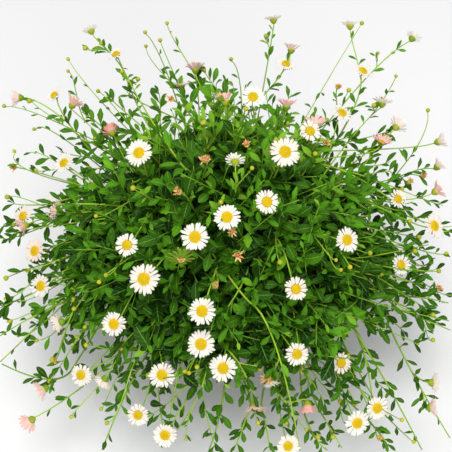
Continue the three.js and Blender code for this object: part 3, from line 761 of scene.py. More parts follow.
shoots = {
    "grown": 0.94,  # of the way from the mound's heart to its surface
    "frontLow": 0.045,
    "sunk": 6,
    "footPull": 12,
    "tipPull": 14,
    "stemRings": 5,
    "stemTaper": 0.6,
    "leafFrom": 0.2,  # of the stem's length
    "lean": 82,  # degrees between the lowest leaves and the stem, less up to the tip
    "leanLess": 48,
}
denseShoots = {
    "count": 480,
    "sparse": 0,  # the share that the mound's back edge goes without
    "lowBack": 0.185,
    "leaves": 8,
    "length": 40,
    "leafLength": 18.5,
    "leafWidth": 8.3,
    "stemRadius": 0.5,
    "lift": [-14, 6],
    "backLift": 0,
    "freshness": -0.18,
}
looseShoots = {
    "count": 150,
    "sparse": 0.1,
    "lowBack": 0.15,
    "leaves": 9,
    "length": 66,
    "leafLength": 14,
    "leafWidth": 5.2,
    "stemRadius": 0.48,
    "lift": [2, 28],
    "backLift": 10,
    "freshness": 0.02,
}


def growShoots(look):
    # Tips spread evenly over the lumpy mound by the golden turn, lower at its back. Each shoot
    # points out of the mound and up, and carries leaves in a spiral, large below and small and pale
    # at its tip. Its leaves are darker where it sits in a hollow of the mound or low on it, which
    # is painted shade.
    count = look["count"]
    radius = np.linspace(0, mound["radius"], 400)
    area = np.cumsum(radius * np.hypot(1, moundSlope(radius)))
    share = (np.arange(count) + 0.5) / count
    radius = np.interp(share * area[-1], area, radius)
    angle = np.arange(count) * goldenTurn + between(-0.1, 0.1, count)
    back = np.clip(np.sin(angle), 0, 1) * radius / mound["radius"]
    kept = rng.random(count) > look["sparse"] * back
    radius, angle, back = radius[kept], angle[kept], back[kept]
    count = len(radius)
    out = outwards(angle)
    surface = out * radius[:, None] + moundHeight(radius)[:, None] * up
    heart = up * mound["heart"]
    lumps = 0.035 * np.sin(3 * angle + 1 + radius / 30) + 0.03 * np.sin(7 * angle + radius / 16)
    front = np.clip(-np.sin(angle), 0, 1) * radius / mound["radius"]
    grown = shoots["grown"] + lumps - look["lowBack"] * np.clip(2.2 * back, 0, 1)
    grown = grown - shoots["frontLow"] * front
    normal = unit(out * moundSlope(radius)[:, None] + up)
    edge = (radius / mound["radius"])[:, None]
    aim = unit(0.6 * normal + (0.55 - 0.75 * edge**4) * up + 0.3 * rng.normal(size=(count, 3)))
    lift = between(*look["lift"], count) + look["backLift"] * back * rng.random(count)
    tips = heart + (surface - heart) * grown[:, None] + aim * lift[:, None]
    lengths = look["length"] * between(0.85, 1.15, count)
    feet = tips - aim * lengths[:, None] - normal * shoots["sunk"]
    feet[:, 2] = np.maximum(feet[:, 2], mound["rimHeight"])
    lengths = np.linalg.norm(tips - feet, axis=1)
    aim = unit(tips - feet)
    owners = stemAt(feet)
    first = feet + aim * shoots["footPull"] + normal * 4
    controls = np.stack([feet, first, tips - aim * shoots["tipPull"], tips], 1)
    radii = look["stemRadius"] * np.linspace(1, shoots["stemTaper"], shoots["stemRings"])
    growTubes(owners, stemGreen, controls, radii, 5, between(0, 0.4, count))

    number = look["leaves"]
    step = np.linspace(0, 1, number)
    along = shoots["leafFrom"] + (1 - shoots["leafFrom"]) * step
    roots = tips[:, None] - (aim * lengths[:, None])[:, None] * (1 - along)[None, :, None]
    roll = np.arange(number) * goldenTurn + between(0, 2 * math.pi, count)[:, None]
    lean = np.radians(shoots["lean"] - shoots["leanLess"] * step**1.5)
    pointing = tilted(aim, roll, lean + between(-0.2, 0.2, count, number))[2]
    light = 0.7 * up + 0.5 * normal[:, None] + 0.35 * toCamera
    light = light + 0.3 * rng.normal(size=(count, number, 3))
    size = (1 - 0.45 * step**2) * between(0.62, 1.22, count, number)
    size = size * ((1 - 0.15 * back + 0.12 * front) * between(0.75, 1.25, count))[:, None]
    tint = look["freshness"] + 0.45 * step**1.5 + 0.85 * between(0, 1, count, number) ** 2 - 0.1
    # darker in the mound's hollows and where the tip sits low, lighter where it stands out: painted
    # shade
    tint = tint + (between(-0.12, 0.12, count) + 2 * lumps + 0.012 * lift)[:, None]
    widths = look["leafWidth"] * size * between(0.8, 1.15, count, number)
    growLeaves(owners, roots, pointing, light, look["leafLength"] * size, widths, tint)


growShoots(denseShoots)
growShoots(looseShoots)
print("shoots grown")

rays = {
    "count": 24,
    "widest": 1.3,  # of an even share of the round
    "rows": [0.08, 0.4, 0.78, 1.0],
    "halves": [0.6, 0.9, 1.0, 0.5],
    "uneven": 0.07,  # of their turn and spread
    "layer": [0.12, 0.2],  # the second layer's lesser spread, and how high it starts
    "long": [0.82, 1.12],
    "wide": [0.85, 1.1],
    "rise": [0, 0.14],
    "curl": [0, 0.12],  # past its rise
    "fold": 0.1,
    "thickness": 0.2,
    "notch": 0.95,  # of the length
}
disc = {
    "radius": 3.8,
    "florets": 75,
    "floret": [[0.42, 0.05], [0.34, 0.62]],
    "dome": {
        "profile": [[0.97, -0.1], [1.0, 0.08], [0.86, 0.26], [0.55, 0.42], [0.2, 0.47]],
        "sides": 14, "ridge": 0, "ridges": 0,
    },
}
cup = {
    "profile": [[0.2, -1.25], [0.5, -1.05], [0.82, -0.6], [1.0, -0.2], [0.98, 0.0]],
    "sides": 22, "ridge": 0.05, "ridges": 11,
}
bud = {
    "profile": [[0.25, -1.15], [0.62, -0.85], [0.93, -0.35], [1.0, 0.1], [0.78, 0.6], [0.35, 0.85]],
    "sides": 18, "ridge": 0.05, "ridges": 9,
}
rayForm = (
    tubeFaces(4, 4),
    mapSpots([0, 0.5, 1, 0.5], rays["rows"], rays["notch"]),
    [True, *[True, False, True, False] * 4, True],
)


def growRays(
    owners, places, facing, halfWidths, spread, tint, number, rootRadius, wide=rays["widest"],
    finish=rayWhite,
):
    # Straps round a head. Each leaves the disc's edge at its spread from the head's axis, rises
    # a little and bends back at its end, and its blunt end has a shallow notch.
    size = len(places), number
    uneven = rays["uneven"]
    turn = np.arange(number) / number * 2 * math.pi + between(-uneven, uneven, *size)
    second = np.arange(number) % 2
    tilt = spread[:, None] + between(-uneven, uneven, *size) - rays["layer"][0] * second
    axis, out, pointing = tilted(facing, turn, tilt)
    lengths = (halfWidths - rootRadius)[:, None] * between(*rays["long"], *size)
    even = 2 * math.pi * (0.6 * halfWidths[:, None]) / number
    widths = wide * even * between(*rays["wide"], *size)
    roots = places[:, None] + out * rootRadius + axis * rays["layer"][1] * second[None, :, None]
    count = len(places) * number
    rise = between(*rays["rise"], count)
    curl = rise + between(*rays["curl"], count)
    shapes = bladeShapes(
        lengths.ravel(), widths.ravel(), np.array(rays["rows"]), rays["halves"],
        np.full(count, rays["fold"]), rise, curl, rays["thickness"], rayAcross, rays["notch"],
    )
    owners, tint = np.repeat(owners, number), np.repeat(tint, number)
    addBlades(owners, finish, shapes, tint, rayForm, roots, pointing, axis)


def headAxes(facing):  # frames whose Y is the head's axis
    return axesOf(facing, spun(facing, between(0, 6.28, len(facing))))


def growTurned(owners, finish, places, facing, form, scale, tint):
    # One turned form at every place, with its own scale.
    scale = np.broadcast_to(scale, len(places))
    profiles = np.array(form["profile"])[None] * scale[:, None, None]
    shapes = turnedShapes(profiles, form["sides"], form["ridge"], form["ridges"])
    heap.addTubes(owners, finish, placed(shapes, places, headAxes(facing)), form["sides"], tint)


def growDiscs(owners, places, facing, radii, tint):
    # A low dome, and on it florets in the golden spiral, each a small pointed bead.
    radii = np.broadcast_to(radii, len(places))
    growTurned(owners, discYellow, places, facing, disc["dome"], radii, tint)
    count = disc["florets"]
    share = np.sqrt((np.arange(count) + 0.5) / count)
    angle = np.arange(count) * goldenTurn
    lift = 0.02 + 0.48 * (1 - share**2) ** 0.6
    axes = headAxes(facing)
    spot = np.stack([share * np.cos(angle), lift, share * np.sin(angle)], -1)
    roots = placed(radii[:, None, None] * spot[None] * 0.94, places, axes)
    lean = np.stack([0.7 * share * np.cos(angle), np.ones(count), 0.7 * share * np.sin(angle)], -1)
    pointing = placed(np.repeat(lean[None], len(places), 0), np.zeros_like(places), axes)
    size = np.repeat(0.24 * radii / 2, count) * np.tile(0.75 + 0.5 * share, len(places))
    shapes = turnedShapes(np.array(disc["floret"])[None] * size[:, None, None] * 2, 5)
    shapes[:, -1, 1] += 0.5 * size
    shapes = placed(shapes, roots.reshape(-1, 3), headAxes(unit(pointing).reshape(-1, 3)))
    shade = np.tile(share**2, len(places)) * 0.9 + between(-0.1, 0.1, len(size))
    heap.addTubes(np.repeat(owners, count), discYellow, shapes, 5, shade)


openHead = {
    "lean": 0.55,  # out from the mound's middle
    "spread": [80, 90],  # degrees between its rays and its axis
    "rayRoot": 0.85,  # of the disc's radius
    "fullWidth": 19,  # the bloom that has a disc of the full radius
    "discTint": [0.3, 0.9],
    "stalkEnd": 3.6,
    "stalkTint": [0.3, 1],
    "leaves": [8, 14, 0.15, 0.78],  # how many, how long, from and to this share of its stalk
    "cupSunk": 0.25,
    "cupRadius": 3.1,
    "cupTint": [0, 0.4],
}
count = len(blooms)
bloomFacing = outFacing(bloomPlaces, openHead["lean"])
bloomNames = np.array([f"bloom_{number + 1:02d}" for number in range(count)])
growRays(
    bloomNames, bloomPlaces, bloomFacing, blooms[:, 2] / 2,
    np.radians(between(*openHead["spread"], count)), blooms[:, 3], rays["count"],
    disc["radius"] * openHead["rayRoot"],
)
radii = disc["radius"] * blooms[:, 2] / openHead["fullWidth"]
tint = between(*openHead["discTint"], count)
growDiscs(bloomNames, bloomPlaces, bloomFacing, radii, tint)
print("blooms grown")

# Stalks: the blooms' first, and the other heads fork off them or have their own

stalks = {
    "steps": 12,
    "sides": 6,
    "footRadius": 0.74,
    "headRadius": 0.45,
    "twigRadius": 0.42,
    "rootShare": 0.55,
    "pull": 0.3,
    "endPull": 0.16,
    "swerve": 0.3,
    "backDeep": 0.26,  # the share that long stems start deeper at the mound's back
    "wander": 0.05,
    "pastFrom": 85,  # mm from the axis where a head starts to count as past the mound's edge
    "pastOver": 40,  # mm more until it counts in full
    "cellGap": 7,  # from the circle between the inner and outer stems
    "startStand": -20,  # over the mound: where long stems come out, their middle, a bare end
    "middleStand": 7,
    "bareStand": 2,
    "bareLeaves": [8, 13, 0.1, 0.95],
    "dearest": 60,
    "wireReach": 6,  # pixels from a wire's end to the head that it carries
    "lowest": 109,  # the lowest that a stalk starts, over the pot's rim
}
core = np.array([[0, 183], [49, 169], [84.3, 134], [98, 102]])  # the solids' radii and heights


def stalkCurves(places, facing):
    # From inside the mound to the head. A head over the mound has its stalk leave up and out, and
    # one past the mound's edge has it leave outwards under the leaves. Each ends square to it.
    reach = np.hypot(places[:, 0], places[:, 1])
    inner = reach < mound["innerRadius"] + 14
    past = np.clip((reach - stalks["pastFrom"]) / stalks["pastOver"], 0, 1)
    radius = np.where(
        inner,
        np.minimum(0.7 * reach, mound["innerRadius"] - stalks["cellGap"]),
        np.clip(
            stalks["rootShare"] * reach, mound["innerRadius"] + stalks["cellGap"], 80 - 18 * past
        ),
    )
    turn = np.arctan2(places[:, 1], places[:, 0]) + stalks["swerve"] * rng.normal(size=len(reach))
    out = outwards(turn)
    height = np.interp(radius, *core.T) - 9
    fall = 0.3 - 0.8 * np.clip(places[:, 1] / reach, 0, 1)
    level = np.maximum(places[:, 2] + fall * (reach - radius), stalks["lowest"])
    height = np.minimum(height, height * (1 - past) + level * past)
    feet = out * radius[:, None] + up * height[:, None]
    gap = np.linalg.norm(places - feet, axis=1)[:, None]
    leave = unit(out * (radius / 98 + past)[:, None] + up * (1 - 0.65 * past)[:, None])
    leave = unit(leave + unit(places - feet))
    wander = stalks["wander"] * gap * rng.normal(size=(len(places), 3))
    first = feet + leave * stalks["pull"] * gap + wander
    return np.stack([feet, first, places - facing * stalks["endPull"] * gap, places], 1)


def growStalks(controls, owners, footRadius, headRadius, tint):  # evenly tapered
    radii = np.linspace(footRadius, headRadius, stalks["steps"])
    return growTubes(owners, stemGreen, controls, radii, stalks["sides"], tint)


def leafStalks(points, directions, owners, number, length, low=0.2, high=0.8):
    # Narrow leaves up a stalk in a spiral, shorter towards its head and paler high on the plant,
    # which is painted light shining through the highest leaves.
    count, steps = points.shape[:2]
    share = np.sort(between(low, high, count, number), axis=1)
    index = share * (steps - 1)
    below = index.astype(int)
    part = (index - below)[..., None]
    row = np.arange(count)[:, None]
    place = points[row, below] * (1 - part) + points[row, below + 1] * part
    along = directions[row, below]
    roll = np.arange(number) * goldenTurn + between(0, 6.28, count)[:, None]
    pointing = 0.75 * along + 0.8 * spun(along, roll) + 0.15 * rng.normal(size=along.shape)
    light = up + 0.4 * toCamera + 0.3 * rng.normal(size=along.shape)
    size = length * (1.1 - 0.55 * share) * between(0.7, 1.2, count, number)
    width = size * between(0.24, 0.4, count, number)
    # paler with height: painted light shining through the highest leaves
    tint = between(0.1, 0.8, count, number) + 0.9 * np.clip((place[..., 2] - 115) / 80, 0, 1)
    growLeaves(owners, place, pointing, light, size, width, tint, 0.2)


def wireCurves(rows, ends):
    # From inside the mound to where each wire comes out, and from there through its middle to
    # its end, as the cubic form of the quadratic curve that passes them.
    start = headPlaces(rows[:, :2], stalks["startStand"])
    back = np.clip(start[:, 1:2] / mound["radius"], 0, 1)
    heart = up * mound["heart"]
    start = heart + (start - heart) * (1 - stalks["backDeep"] * back)
    middle = 2 * headPlaces(rows[:, 2:4], stalks["middleStand"]) - (start + ends) / 2
    outer = np.stack([start, (start + 2 * middle) / 3, (ends + 2 * middle) / 3, ends], 1)
    inner = stalkCurves(start, unit(middle - start))
    inner[:, 1] = (2 * inner[:, 0] + inner[:, 3]) / 3
    return inner, outer


def growWired(controls, owners, pixels, footRadius, headRadius, tint):
    # Stalks by their controls, or by the wire that ends at the same pixel.
    apart = np.linalg.norm(pixels[:, None] - wires[None, :, 4:], axis=-1)
    wired = apart.min(axis=1) < stalks["wireReach"]
    inner, outer = wireCurves(wires[apart.argmin(axis=1)], controls[:, -1])
    owners = np.where(wired, stemAt(inner[:, 0]), owners)
    controls = np.where(wired[:, None, None], outer, controls)
    if wired.any():
        growStalks(inner[wired], owners[wired], footRadius, footRadius, tint[wired])
    points, directions = growStalks(controls, owners, footRadius, headRadius, tint)
    return points, directions, owners


def growTwigs(places, facing, pixels, thick, tint, leaves):
    # Each head has a wire that ends at its pixel, or forks off the host stalk's point that is
    # nearest, counting the gap dearer where the stalk doesn't point to the head. Heads with
    # neither get a stalk of their own. All bear a few leaves.
    points, directions, owners = hosts
    usable = slice(3, 10)
    forks = points[:, usable].reshape(-1, 3)
    along = directions[:, usable].reshape(-1, 3)
    gap = places[:, None] - forks[None]
    far = np.linalg.norm(gap, axis=-1)
    cost = far * (5 - 4 * np.sum(unit(gap) * along[None], -1)) + np.where(far < 10, 60, 0)
    best = np.argmin(cost, axis=1)
    row = np.arange(len(places))
    cheap = cost[row, best] < stalks["dearest"]
    length = far[row, best][:, None]
    start, leave = forks[best], along[best]
    first = start + (0.6 * leave + 0.4 * unit(places - start)) * 0.35 * length
    controls = np.stack([start, first, places - facing * 0.2 * length, places], 1)
    own = stalkCurves(places, facing)
    controls = np.where(cheap[:, None, None], controls, own)
    forkOwners = np.repeat(owners, len(forks) // len(owners))
    owners = np.where(cheap, forkOwners[best], stemAt(own[:, 0]))
    foot, head = stalks["twigRadius"] * np.array(thick)
    grown = growWired(controls, owners, pixels, foot, head, tint)
    leafStalks(*grown, *leaves)
    return grown


def joined(*groups):  # the arrays of several groups of stalks, one after the other
    return tuple(np.concatenate(rows) for rows in zip(*groups))


# Stems that end in no head, and the blooms' own
heads = np.concatenate([blooms[:, :2], closing[:, :2], spent[:, :2], buds])
apart = np.linalg.norm(wires[:, None, 4:] - heads[None], axis=-1).min(axis=1)
bare = wires[apart >= stalks["wireReach"]]
inner, outer = wireCurves(bare, headPlaces(bare[:, 4:], stalks["bareStand"]))
owners = stemAt(inner[:, 0])
foot, head = stalks["footRadius"], stalks["headRadius"]
growStalks(inner, owners, foot, foot, between(0, 1, len(bare)))
points, directions = growStalks(outer, owners, foot, head, between(0.3, 1, len(bare)))
leafStalks(points, directions, owners, *stalks["bareLeaves"])
hosts = (points, directions, owners)

count = len(blooms)
controls = stalkCurves(bloomPlaces - bloomFacing * openHead["stalkEnd"], bloomFacing)
grown = growWired(
    controls, stemAt(controls[:, 0]), blooms[:, :2], stalks["footRadius"], stalks["headRadius"],
    between(*openHead["stalkTint"], count),
)
leafStalks(*grown, *openHead["leaves"])
hosts = joined(hosts, grown)
places = bloomPlaces - bloomFacing * openHead["cupSunk"]
tint = between(*openHead["cupTint"], count)
growTurned(grown[2], cupGreen, places, bloomFacing, cup, openHead["cupRadius"], tint)


def growHeads(look, pixels, places, facing):
    # A twig with leaves to each head, and a green cup on it.
    count = len(places)
    roots = places - facing * look["rootBelow"]
    tint = between(*look["twigTint"], count)
    ends = roots - facing * look["cupHeight"]
    grown = growTwigs(ends, facing, pixels, look["thick"], tint, look["leaves"])
    tint = between(*look["cupTint"], count)
    growTurned(grown[2], cupGreen, roots, facing, cup, look["cupRadius"], tint)
    return grown, roots


closingHead = {
    "stand": [12, 22],  # over the mound
    "rootBelow": 3.5,  # from where it is seen to where its rays start
    "twigTint": [0.3, 1],
    "thick": [1.3, 1],  # its twig at the foot and under the head
    "leaves": [4, 12],  # how many, and how long
    "cupHeight": 3,
    "cupRadius": 2.8,
    "cupTint": [0, 0.5],
    "rays": 22,
    "rayRoot": 2.2,
    "rayWide": 1.2,
    "halfWidth": [8, 9.8],
    "youngLess": 1.9,  # where they are white
    "discRadius": 2.4,
    "discTint": [0.2, 0.8],
}
count = len(closing)
places = headPlaces(closing[:, :2], between(*closingHead["stand"], count))
way = np.radians(closing[:, 2])[:, None]
facing = np.cos(way) * pictureRight + np.sin(way) * pictureUp + closing[:, 5:] * toCamera
facing = unit(facing + 0.08 * rng.normal(size=(count, 3)))
grown, roots = growHeads(closingHead, closing[:, :2], places, facing)
owners = grown[2]
hosts = joined(hosts, grown)
pink = closing[:, 3]
halfWidths = between(*closingHead["halfWidth"], count)
halfWidths = halfWidths - closingHead["youngLess"] * np.clip(1 - 2 * pink, 0, 1)
growRays(
    owners, roots, facing, halfWidths, np.radians(closing[:, 4]), pink, closingHead["rays"],
    closingHead["rayRoot"], closingHead["rayWide"],
)
tint = between(*closingHead["discTint"], count)
growDiscs(owners, roots, facing, closingHead["discRadius"], tint)

# Spent heads: a small cup and a tuft of curled dry straps
spentHead = {
    "stand": [8, 14],
    "lean": 0.6,
    "rootBelow": 2,
    "twigTint": [0, 0.6],
    "thick": [1.3, 1],
    "leaves": [3, 11],
    "cupHeight": 1.9,
    "cupRadius": 2.0,
    "cupTint": [0.3, 0.9],
}
count = len(spent)
places = headPlaces(spent[:, :2], between(*spentHead["stand"], count))
facing = unit(outFacing(places, spentHead["lean"]) + 0.3 * rng.normal(size=(count, 3)))
grown, roots = growHeads(spentHead, spent[:, :2], places, facing)
owners = grown[2]

tuft = {
    "straps": 30,
    "halves": [0.6, 0.8, 1.0, 1.0, 0.9, 0.6],
    "long": [0.6, 1.3],  # times its head's 1.7 mm, or 3.3 where it has crumpled
    "wide": [0.8, 1.4],
    "fold": [0.2, 0.8],
    "rise": [-0.3, 0.5],
    "curl": [-0.8, 1.2],
}


def growTufts(owners, places, facing, number, lengths):
    # Curled dry straps round each head's axis, on a spiral.
    size = len(places), number
    turn = np.tile(np.arange(number) * goldenTurn, (len(places), 1))
    tilt = between(0.05, 0.2, *size) + 0.1 * lengths[:, None] * rng.random(number)
    axis, out, pointing = tilted(facing, turn, tilt)
    roots = places[:, None] + out * 0.8
    count = len(places) * number
    lengths = np.repeat(lengths, number) * between(*tuft["long"], count)
    widths, fold = between(*tuft["wide"], count), between(*tuft["fold"], count)
    rise, curl = between(*tuft["rise"], count), between(*tuft["curl"], count)
    rows = np.array(leaf["plainRows"])
    shapes = bladeShapes(lengths, widths, rows, tuft["halves"], fold, rise, curl, 0.2)
    owners, tint = np.repeat(owners, number), between(0, 1, count)
    addBlades(owners, spentTan, shapes, tint, leafForm, roots, pointing, axis)


growTufts(owners, roots, facing, tuft["straps"], 1.7 + 1.6 * spent[:, 2])

# One spent head has a fan of straps behind it, in the cups' darkest green: painted shade on rays
# seen from behind
fan = {
    "head": 10,
    "halfWidth": 9.0,
    "spread": 72.0,  # degrees
    # held at the cups' darkest green: painted shade
    "tint": -0.3,
    "rays": [24, 1.2, 1.5],  # how many, their root's radius, their width
}
only = slice(fan["head"], fan["head"] + 1)
growRays(
    owners[only], roots[only], unit(0.8 * pictureUp - 0.7 * toCamera)[None],
    np.array([fan["halfWidth"]]), np.radians([fan["spread"]]), np.array([fan["tint"]]),
    *fan["rays"], cupGreen,
)

# Buds
budHead = {
    "stand": [10, 26],
    "lean": 0.8,
    "stalkEnd": 1.6,
    "twigTint": [0.4, 1],
    "thick": [1.2, 0.8],
    "leaves": [3, 10],
    "radius": [1.3, 2.0],
    "tint": [0.4, 1.0],
}
count = len(buds)
places = headPlaces(buds, between(*budHead["stand"], count))
facing = unit(outFacing(places, budHead["lean"]) + 0.3 * rng.normal(size=(count, 3)))
ends = places - facing * budHead["stalkEnd"]
tint = between(*budHead["twigTint"], count)
owners = growTwigs(ends, facing, buds, budHead["thick"], tint, budHead["leaves"])[2]


def growBuds(owners, places, facing):  # small pointed forms of their own size and green
    radii = between(*budHead["radius"], len(places))
    tint = between(*budHead["tint"], len(places))
    growTurned(owners, cupGreen, places, facing, bud, radii, tint)


growBuds(owners, places, facing)

# Wiry leafy stems past the mound's edge, with a small bud or only leaves at their ends
fringe = {
    "count": 330,
    "middle": [226, 258],  # pixels
    "half": [205, 172],
    "reach": [0.72, 1.15],  # of those half sizes
    "frontKept": 0.22,  # the share kept near the mound at the picture's foot
    "topKept": 0.4,  # the share kept at the picture's top
    "leaves": 9,
    "leafLength": 17,
    "budShare": 0.4,
}
turn = np.arange(fringe["count"]) * goldenTurn
past = between(*fringe["reach"], fringe["count"])
gone = (1 - fringe["topKept"]) * np.clip(1.6 * np.sin(-turn), 0, 1)
gone += (1 - fringe["frontKept"]) * (np.sin(turn) > 0.5)
kept = rng.random(len(turn)) > gone
turn, past = turn[kept][:, None], past[kept][:, None]
circle = np.concatenate([np.cos(turn), np.sin(turn)], 1)
ends = np.array(fringe["middle"]) + np.array(fringe["half"]) * past * circle
ends = np.clip(ends, 3, 449) + between(-3, 3, *ends.shape)
count = len(ends)
places = headPlaces(ends, between(-6, 16, count))
facing = unit(outFacing(places, 1.2) + 0.3 * rng.normal(size=places.shape))
controls = stalkCurves(places, facing)
owners = stemAt(controls[:, 0])
points, directions = growStalks(controls, owners, 0.7, 0.35, between(0.2, 1, count))
leafStalks(points, directions, owners, fringe["leaves"], fringe["leafLength"], 0.35, 1.0)
topped = rng.random(count) < fringe["budShare"]
growBuds(owners[topped], places[topped], directions[topped, -1])
print("stalks, heads and buds grown")

# Woody stems, the dark dome of painted shade inside, pot and soil

woody = {
    "radius": 2.2,
    "low": 84,
    "high": 122,
    "innerAt": 16.8,
    "outerAt": 45.4,
    "taper": 0.85,
    "branches": 6,
    "branchLength": [22, 40],
    "branchRadius": [1.4, 0.8],
    "fan": [0.2, 1.1],  # how far the branches lean out
}


def growWood():
    # An upright foot in the soil for each leafy stem, and branches that fan out of it.
    inner = (np.arange(mound["innerStems"]) + 0.5) / mound["innerStems"]
    outer = (np.arange(mound["outerStems"]) + 0.5) / mound["outerStems"]
    angle = np.concatenate([inner, outer]) * 2 * math.pi
    radius = np.repeat([woody["innerAt"], woody["outerAt"]], [len(inner), len(outer)])
    out = outwards(angle)
    feet = out * radius[:, None] + up * woody["low"]
    tops = out * radius[:, None] + up * woody["high"]
    controls = np.stack([feet, feet * 0.7 + tops * 0.3, feet * 0.3 + tops * 0.7, tops], 1)
    radii = np.linspace(1, woody["taper"], 8) * woody["radius"] * between(0.92, 1.08, len(angle), 8)
    owners = np.arange(len(angle))
    growTubes(owners, woodyBark, controls, radii, 9, between(0, 1, len(angle)))
    number = woody["branches"]
    start = np.repeat(tops - up * 4, number, 0)
    way = np.repeat(out, number, 0) * between(*woody["fan"], len(start))[:, None]
    way = unit(way + up + 0.4 * rng.normal(size=way.shape))
    end = start + way * between(*woody["branchLength"], len(start))[:, None]
    controls = np.stack([start, start + up * 9, end - way * 9, end], 1)
    owners, tint = np.repeat(owners, number), between(0, 1, len(start))
    growTubes(owners, woodyBark, controls, np.linspace(*woody["branchRadius"], 6), 6, tint)


growWood()

inside = {
    "profile": [[40, 112], [70, 110], [76, 96], [88, 94], [91, 104], [78, 132], [60, 152],
                [42, 166], [20, 174]],
    "sides": 60,
    "hollow": 0.36,  # the share that its radius shrinks by over the pot's rim
    "backHollow": 0.12,  # and this much more at the back
    "hollowFrom": 104,  # the height where it starts to shrink
    "hollowOver": 28,  # and how much higher it has shrunk in full
}


def growInside():
    # A lumpy dome with a hollow for the pot's rim: a turned profile whose radius swells with two
    # sines of the angle and the height, and whose crown is lifted by a third. It is painted shade:
    # a dark sheet that stands for the shade deep among the stems and leaves.
    shapes = uprightShapes(np.array(inside["profile"], float)[None], inside["sides"])
    angle = np.arctan2(shapes[..., 1], shapes[..., 0])
    height = shapes[..., 2].copy()
    swell = 1 + 0.03 * np.sin(9 * angle + height / 7) + 0.025 * np.sin(14 * angle - height / 5)
    hollow = inside["hollow"] + inside["backHollow"] * np.clip(np.sin(angle), 0, 1)
    over = np.clip((height - inside["hollowFrom"]) / inside["hollowOver"], 0, 1)
    swell = swell * (1 - hollow * over)
    shapes[..., :2] *= swell[..., None]
    shapes[..., 2] += 1.5 * np.sin(6 * angle + height / 9) * (height > 120)
    heap.addTubes(["inside"], paintedShadeDark, shapes, inside["sides"], [0.0])


growInside()

pot = {
    "height": 105,
    "baseRadius": 44,
    "rimRadius": 64,
    "wall": 2.4,
    "floor": 4,
    "bandHeight": 16,
    "bandStep": 3,
    "soilDepth": 9,
    "fitGap": 0.3,
    "rounding": 0.9,
    "sides": 96,
    "holes": 4,
    "holeRadius": 4,
    "holeCircle": 24,
    "crumbs": 420,
    "crumbSize": [0.6, 2.2],
}
insideRim = pot["rimRadius"] - pot["bandStep"] - pot["wall"]
bandFoot = pot["height"] - pot["bandHeight"]


def rounded(corners, radius, steps=4):
    # Each inner corner of a profile becomes a short arc-like curve between points a radius away.
    corners = np.array(corners, float)
    rows = [corners[:1]]
    t = np.linspace(0, 1, steps)[:, None]
    for before, here, after in zip(corners[:-2], corners[1:-1], corners[2:]):
        first = here + unit(before - here) * min(radius, np.linalg.norm(before - here) / 2)
        last = here + unit(after - here) * min(radius, np.linalg.norm(after - here) / 2)
        rows.append((1 - t) ** 2 * first + 2 * t * (1 - t) * here + t**2 * last)
    rows.append(corners[-1:])
    return np.concatenate(rows)


def makePot():  # a turned wall and floor with a rim band, and round holes bored in the floor
    profile = rounded([
        [6, 0], [pot["baseRadius"], 0], [pot["rimRadius"] - pot["bandStep"], bandFoot],
        [pot["rimRadius"], bandFoot], [pot["rimRadius"], pot["height"]],
        [insideRim, pot["height"]], [insideRim, bandFoot],
        [pot["baseRadius"] - pot["wall"], pot["floor"]], [6, pot["floor"]],
    ], pot["rounding"])
    shapes = uprightShapes(profile[None], pot["sides"])
    heap.addTubes(["pot"], potCharcoal, shapes, pot["sides"], [0.0])
    made = heap.piece("pot", "nurseryPot")
    holes = pot["holes"]
    drill = np.array([[pot["holeRadius"], -6], [pot["holeRadius"], 12]], float)
    cutters = uprightShapes(np.repeat(drill[None], holes, 0), 24)
    angle = (np.arange(holes) + 0.5) / holes * 2 * math.pi
    cutters += pot["holeCircle"] * outwards(angle)[:, None]
    heap.addTubes(["drill"] * holes, potCharcoal, cutters, 24, [0.0] * holes)
    cutter = heap.piece("drill", "drill")
    modifier = made.modifiers.new("holes", "BOOLEAN")
    modifier.object = cutter
    modifier.operation = "DIFFERENCE"
    modifier.solver = "EXACT"
    ready = made.evaluated_get(bpy.context.evaluated_depsgraph_get())
    bored = bpy.data.meshes.new_from_object(ready)
    made.modifiers.clear()
    made.data = bored
    bored.name = "nurseryPot"
    bpy.data.objects.remove(cutter)
    sharp = bored.attributes.get("sharp_face")
    if sharp:
        bored.attributes.remove(sharp)
    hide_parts("pot")


makePot()


def soilRipple(x, y):  # two sets of sine waves that cross
    return 1.2 * np.sin(x / 5 + 1) * np.sin(y / 6) + 0.8 * np.sin((x - y) / 3)


def makeSoil():
    # A body that fills the pot to below its rim, its top rippled by sines, and crumbs on it.
    low = pot["floor"] + pot["fitGap"]
    high = pot["height"] - pot["soilDepth"]
    wide = insideRim - pot["fitGap"] - 0.2
    top = [[radius, high] for radius in np.linspace(wide, 4, 12)]
    base = pot["baseRadius"] - pot["wall"] - pot["fitGap"] - 0.3
    profile = np.array([[6, low], [base, low], [wide, bandFoot], *top], float)
    shapes = uprightShapes(profile[None], 64)
    x, y, z = shapes[..., 0], shapes[..., 1], shapes[..., 2]
    inner = np.hypot(x, y) < insideRim - 3
    shapes[..., 2] = np.where((z > high - 1) & inner, z + soilRipple(x, y), z)
    heap.addTubes(["soil"], soilBrown, shapes, 64, [0.0])
    count = pot["crumbs"]
    radius = (insideRim - 4) * np.sqrt(rng.random(count))
    angle = between(0, 2 * math.pi, count)
    x, y = radius * np.cos(angle), radius * np.sin(angle)
    places = np.stack([x, y, high + soilRipple(x, y)], -1)
    lump = np.array([[0.7, -0.6], [1.0, 0.1], [0.6, 0.7]])
    shapes = turnedShapes(lump[None] * between(*pot["crumbSize"], count)[:, None, None], 6)
    shapes = shapes * between(0.7, 1.2, count, 1, 3)
    shapes = placed(shapes, places, headAxes(unit(rng.normal(size=(count, 3)))))
    heap.addTubes(["soil"] * count, soilBrown, shapes, 6, between(0, 1, count))
    made = heap.piece("soil", "pottingSoil")
    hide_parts("soil")


makeSoil()
# the dark dome of painted shade
dome = heap.piece("inside", "paintedShadeDome")
print("pot and soil made")

# The pieces that stand for the leafy stems and the blooms

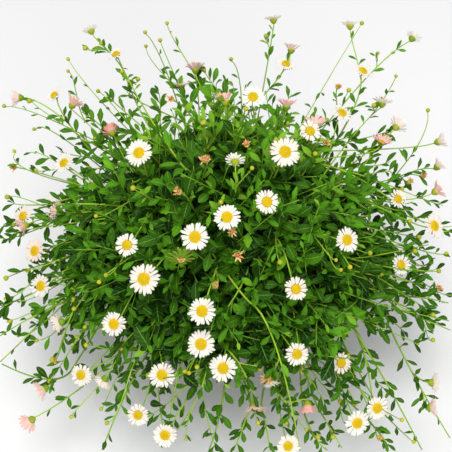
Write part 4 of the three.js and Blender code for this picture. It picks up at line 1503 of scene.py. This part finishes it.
for stem in range(mound["innerStems"] + mound["outerStems"]):
    made = heap.piece(stem, f"leafyStem{stem + 1:02d}")
    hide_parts(f"leafy_stem_{stem + 1:02d}")
for name in bloomNames:
    made = heap.piece(name, f"openBloom{name[-2:]}")
    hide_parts(name)
print("pieces joined")

# Floor, light and camera

stage = {
    "floorHalf": 9.0,  # metres
    "floorPale": linear(230, 230, 230),
    "worldPale": (1.0, 1.0, 1.0, 1.0),
    "worldStrength": 0.5,
    "keyPower": 25.5,
    "fillPower": 2.4,
}


def faceAlong(made, back):  # turned so that it looks away from the direction back
    made.rotation_mode = "QUATERNION"
    made.rotation_quaternion = Vector(back.tolist()).to_track_quat("Z", "Y")


def floorPaint(shade):  # one pale colour, a little uneven in its gloss
    return stage["floorPale"], 0.6 + shade.noise(3.0) * 0.05


def makeFloor():  # one flat square
    half = stage["floorHalf"]
    mesh = bpy.data.meshes.new("floor")
    corners = [(-half, -half, 0), (half, -half, 0), (half, half, 0), (-half, half, 0)]
    mesh.from_pydata(corners, [], [(0, 1, 2, 3)])
    mesh.materials.append(newFinish("palePaper", floorPaint))
    addObject("floor", mesh)


def addLamp(name, place, aim, size, power, spread=180):  # a round soft box and its fan in degrees
    data = bpy.data.lights.new(name, "AREA")
    data.shape = "DISK"
    data.size = size
    data.energy = power
    data.spread = math.radians(spread)
    lamp = addObject(name, data)
    lamp.location = place
    faceAlong(lamp, unit(np.array(place, float) - np.array(aim, float)))


makeFloor()
addLamp("keyLamp", (-0.1, -0.2, 1.8), (0, 0, 0.1), 1.1, stage["keyPower"])
addLamp("fillLamp", (0.35, -1.3, 0.65), (0, 0, 0.1), 1.0, stage["fillPower"], 100)

world = bpy.data.worlds.new("studio")
world.use_nodes = True
background = world.node_tree.nodes["Background"]
background.inputs["Color"].default_value = stage["worldPale"]
background.inputs["Strength"].default_value = stage["worldStrength"]
bpy.context.scene.world = world
bpy.context.scene.view_settings.view_transform = "Standard"

cameraData = bpy.data.cameras.new("photoCamera")
cameraData.sensor_width = 36
cameraData.lens = cameraData.sensor_width * photo["focal"] / photo["size"]
camera = addObject("photoCamera", cameraData)
camera.location = (eye * mm).tolist()
faceAlong(camera, toCamera)
bpy.context.scene.camera = camera
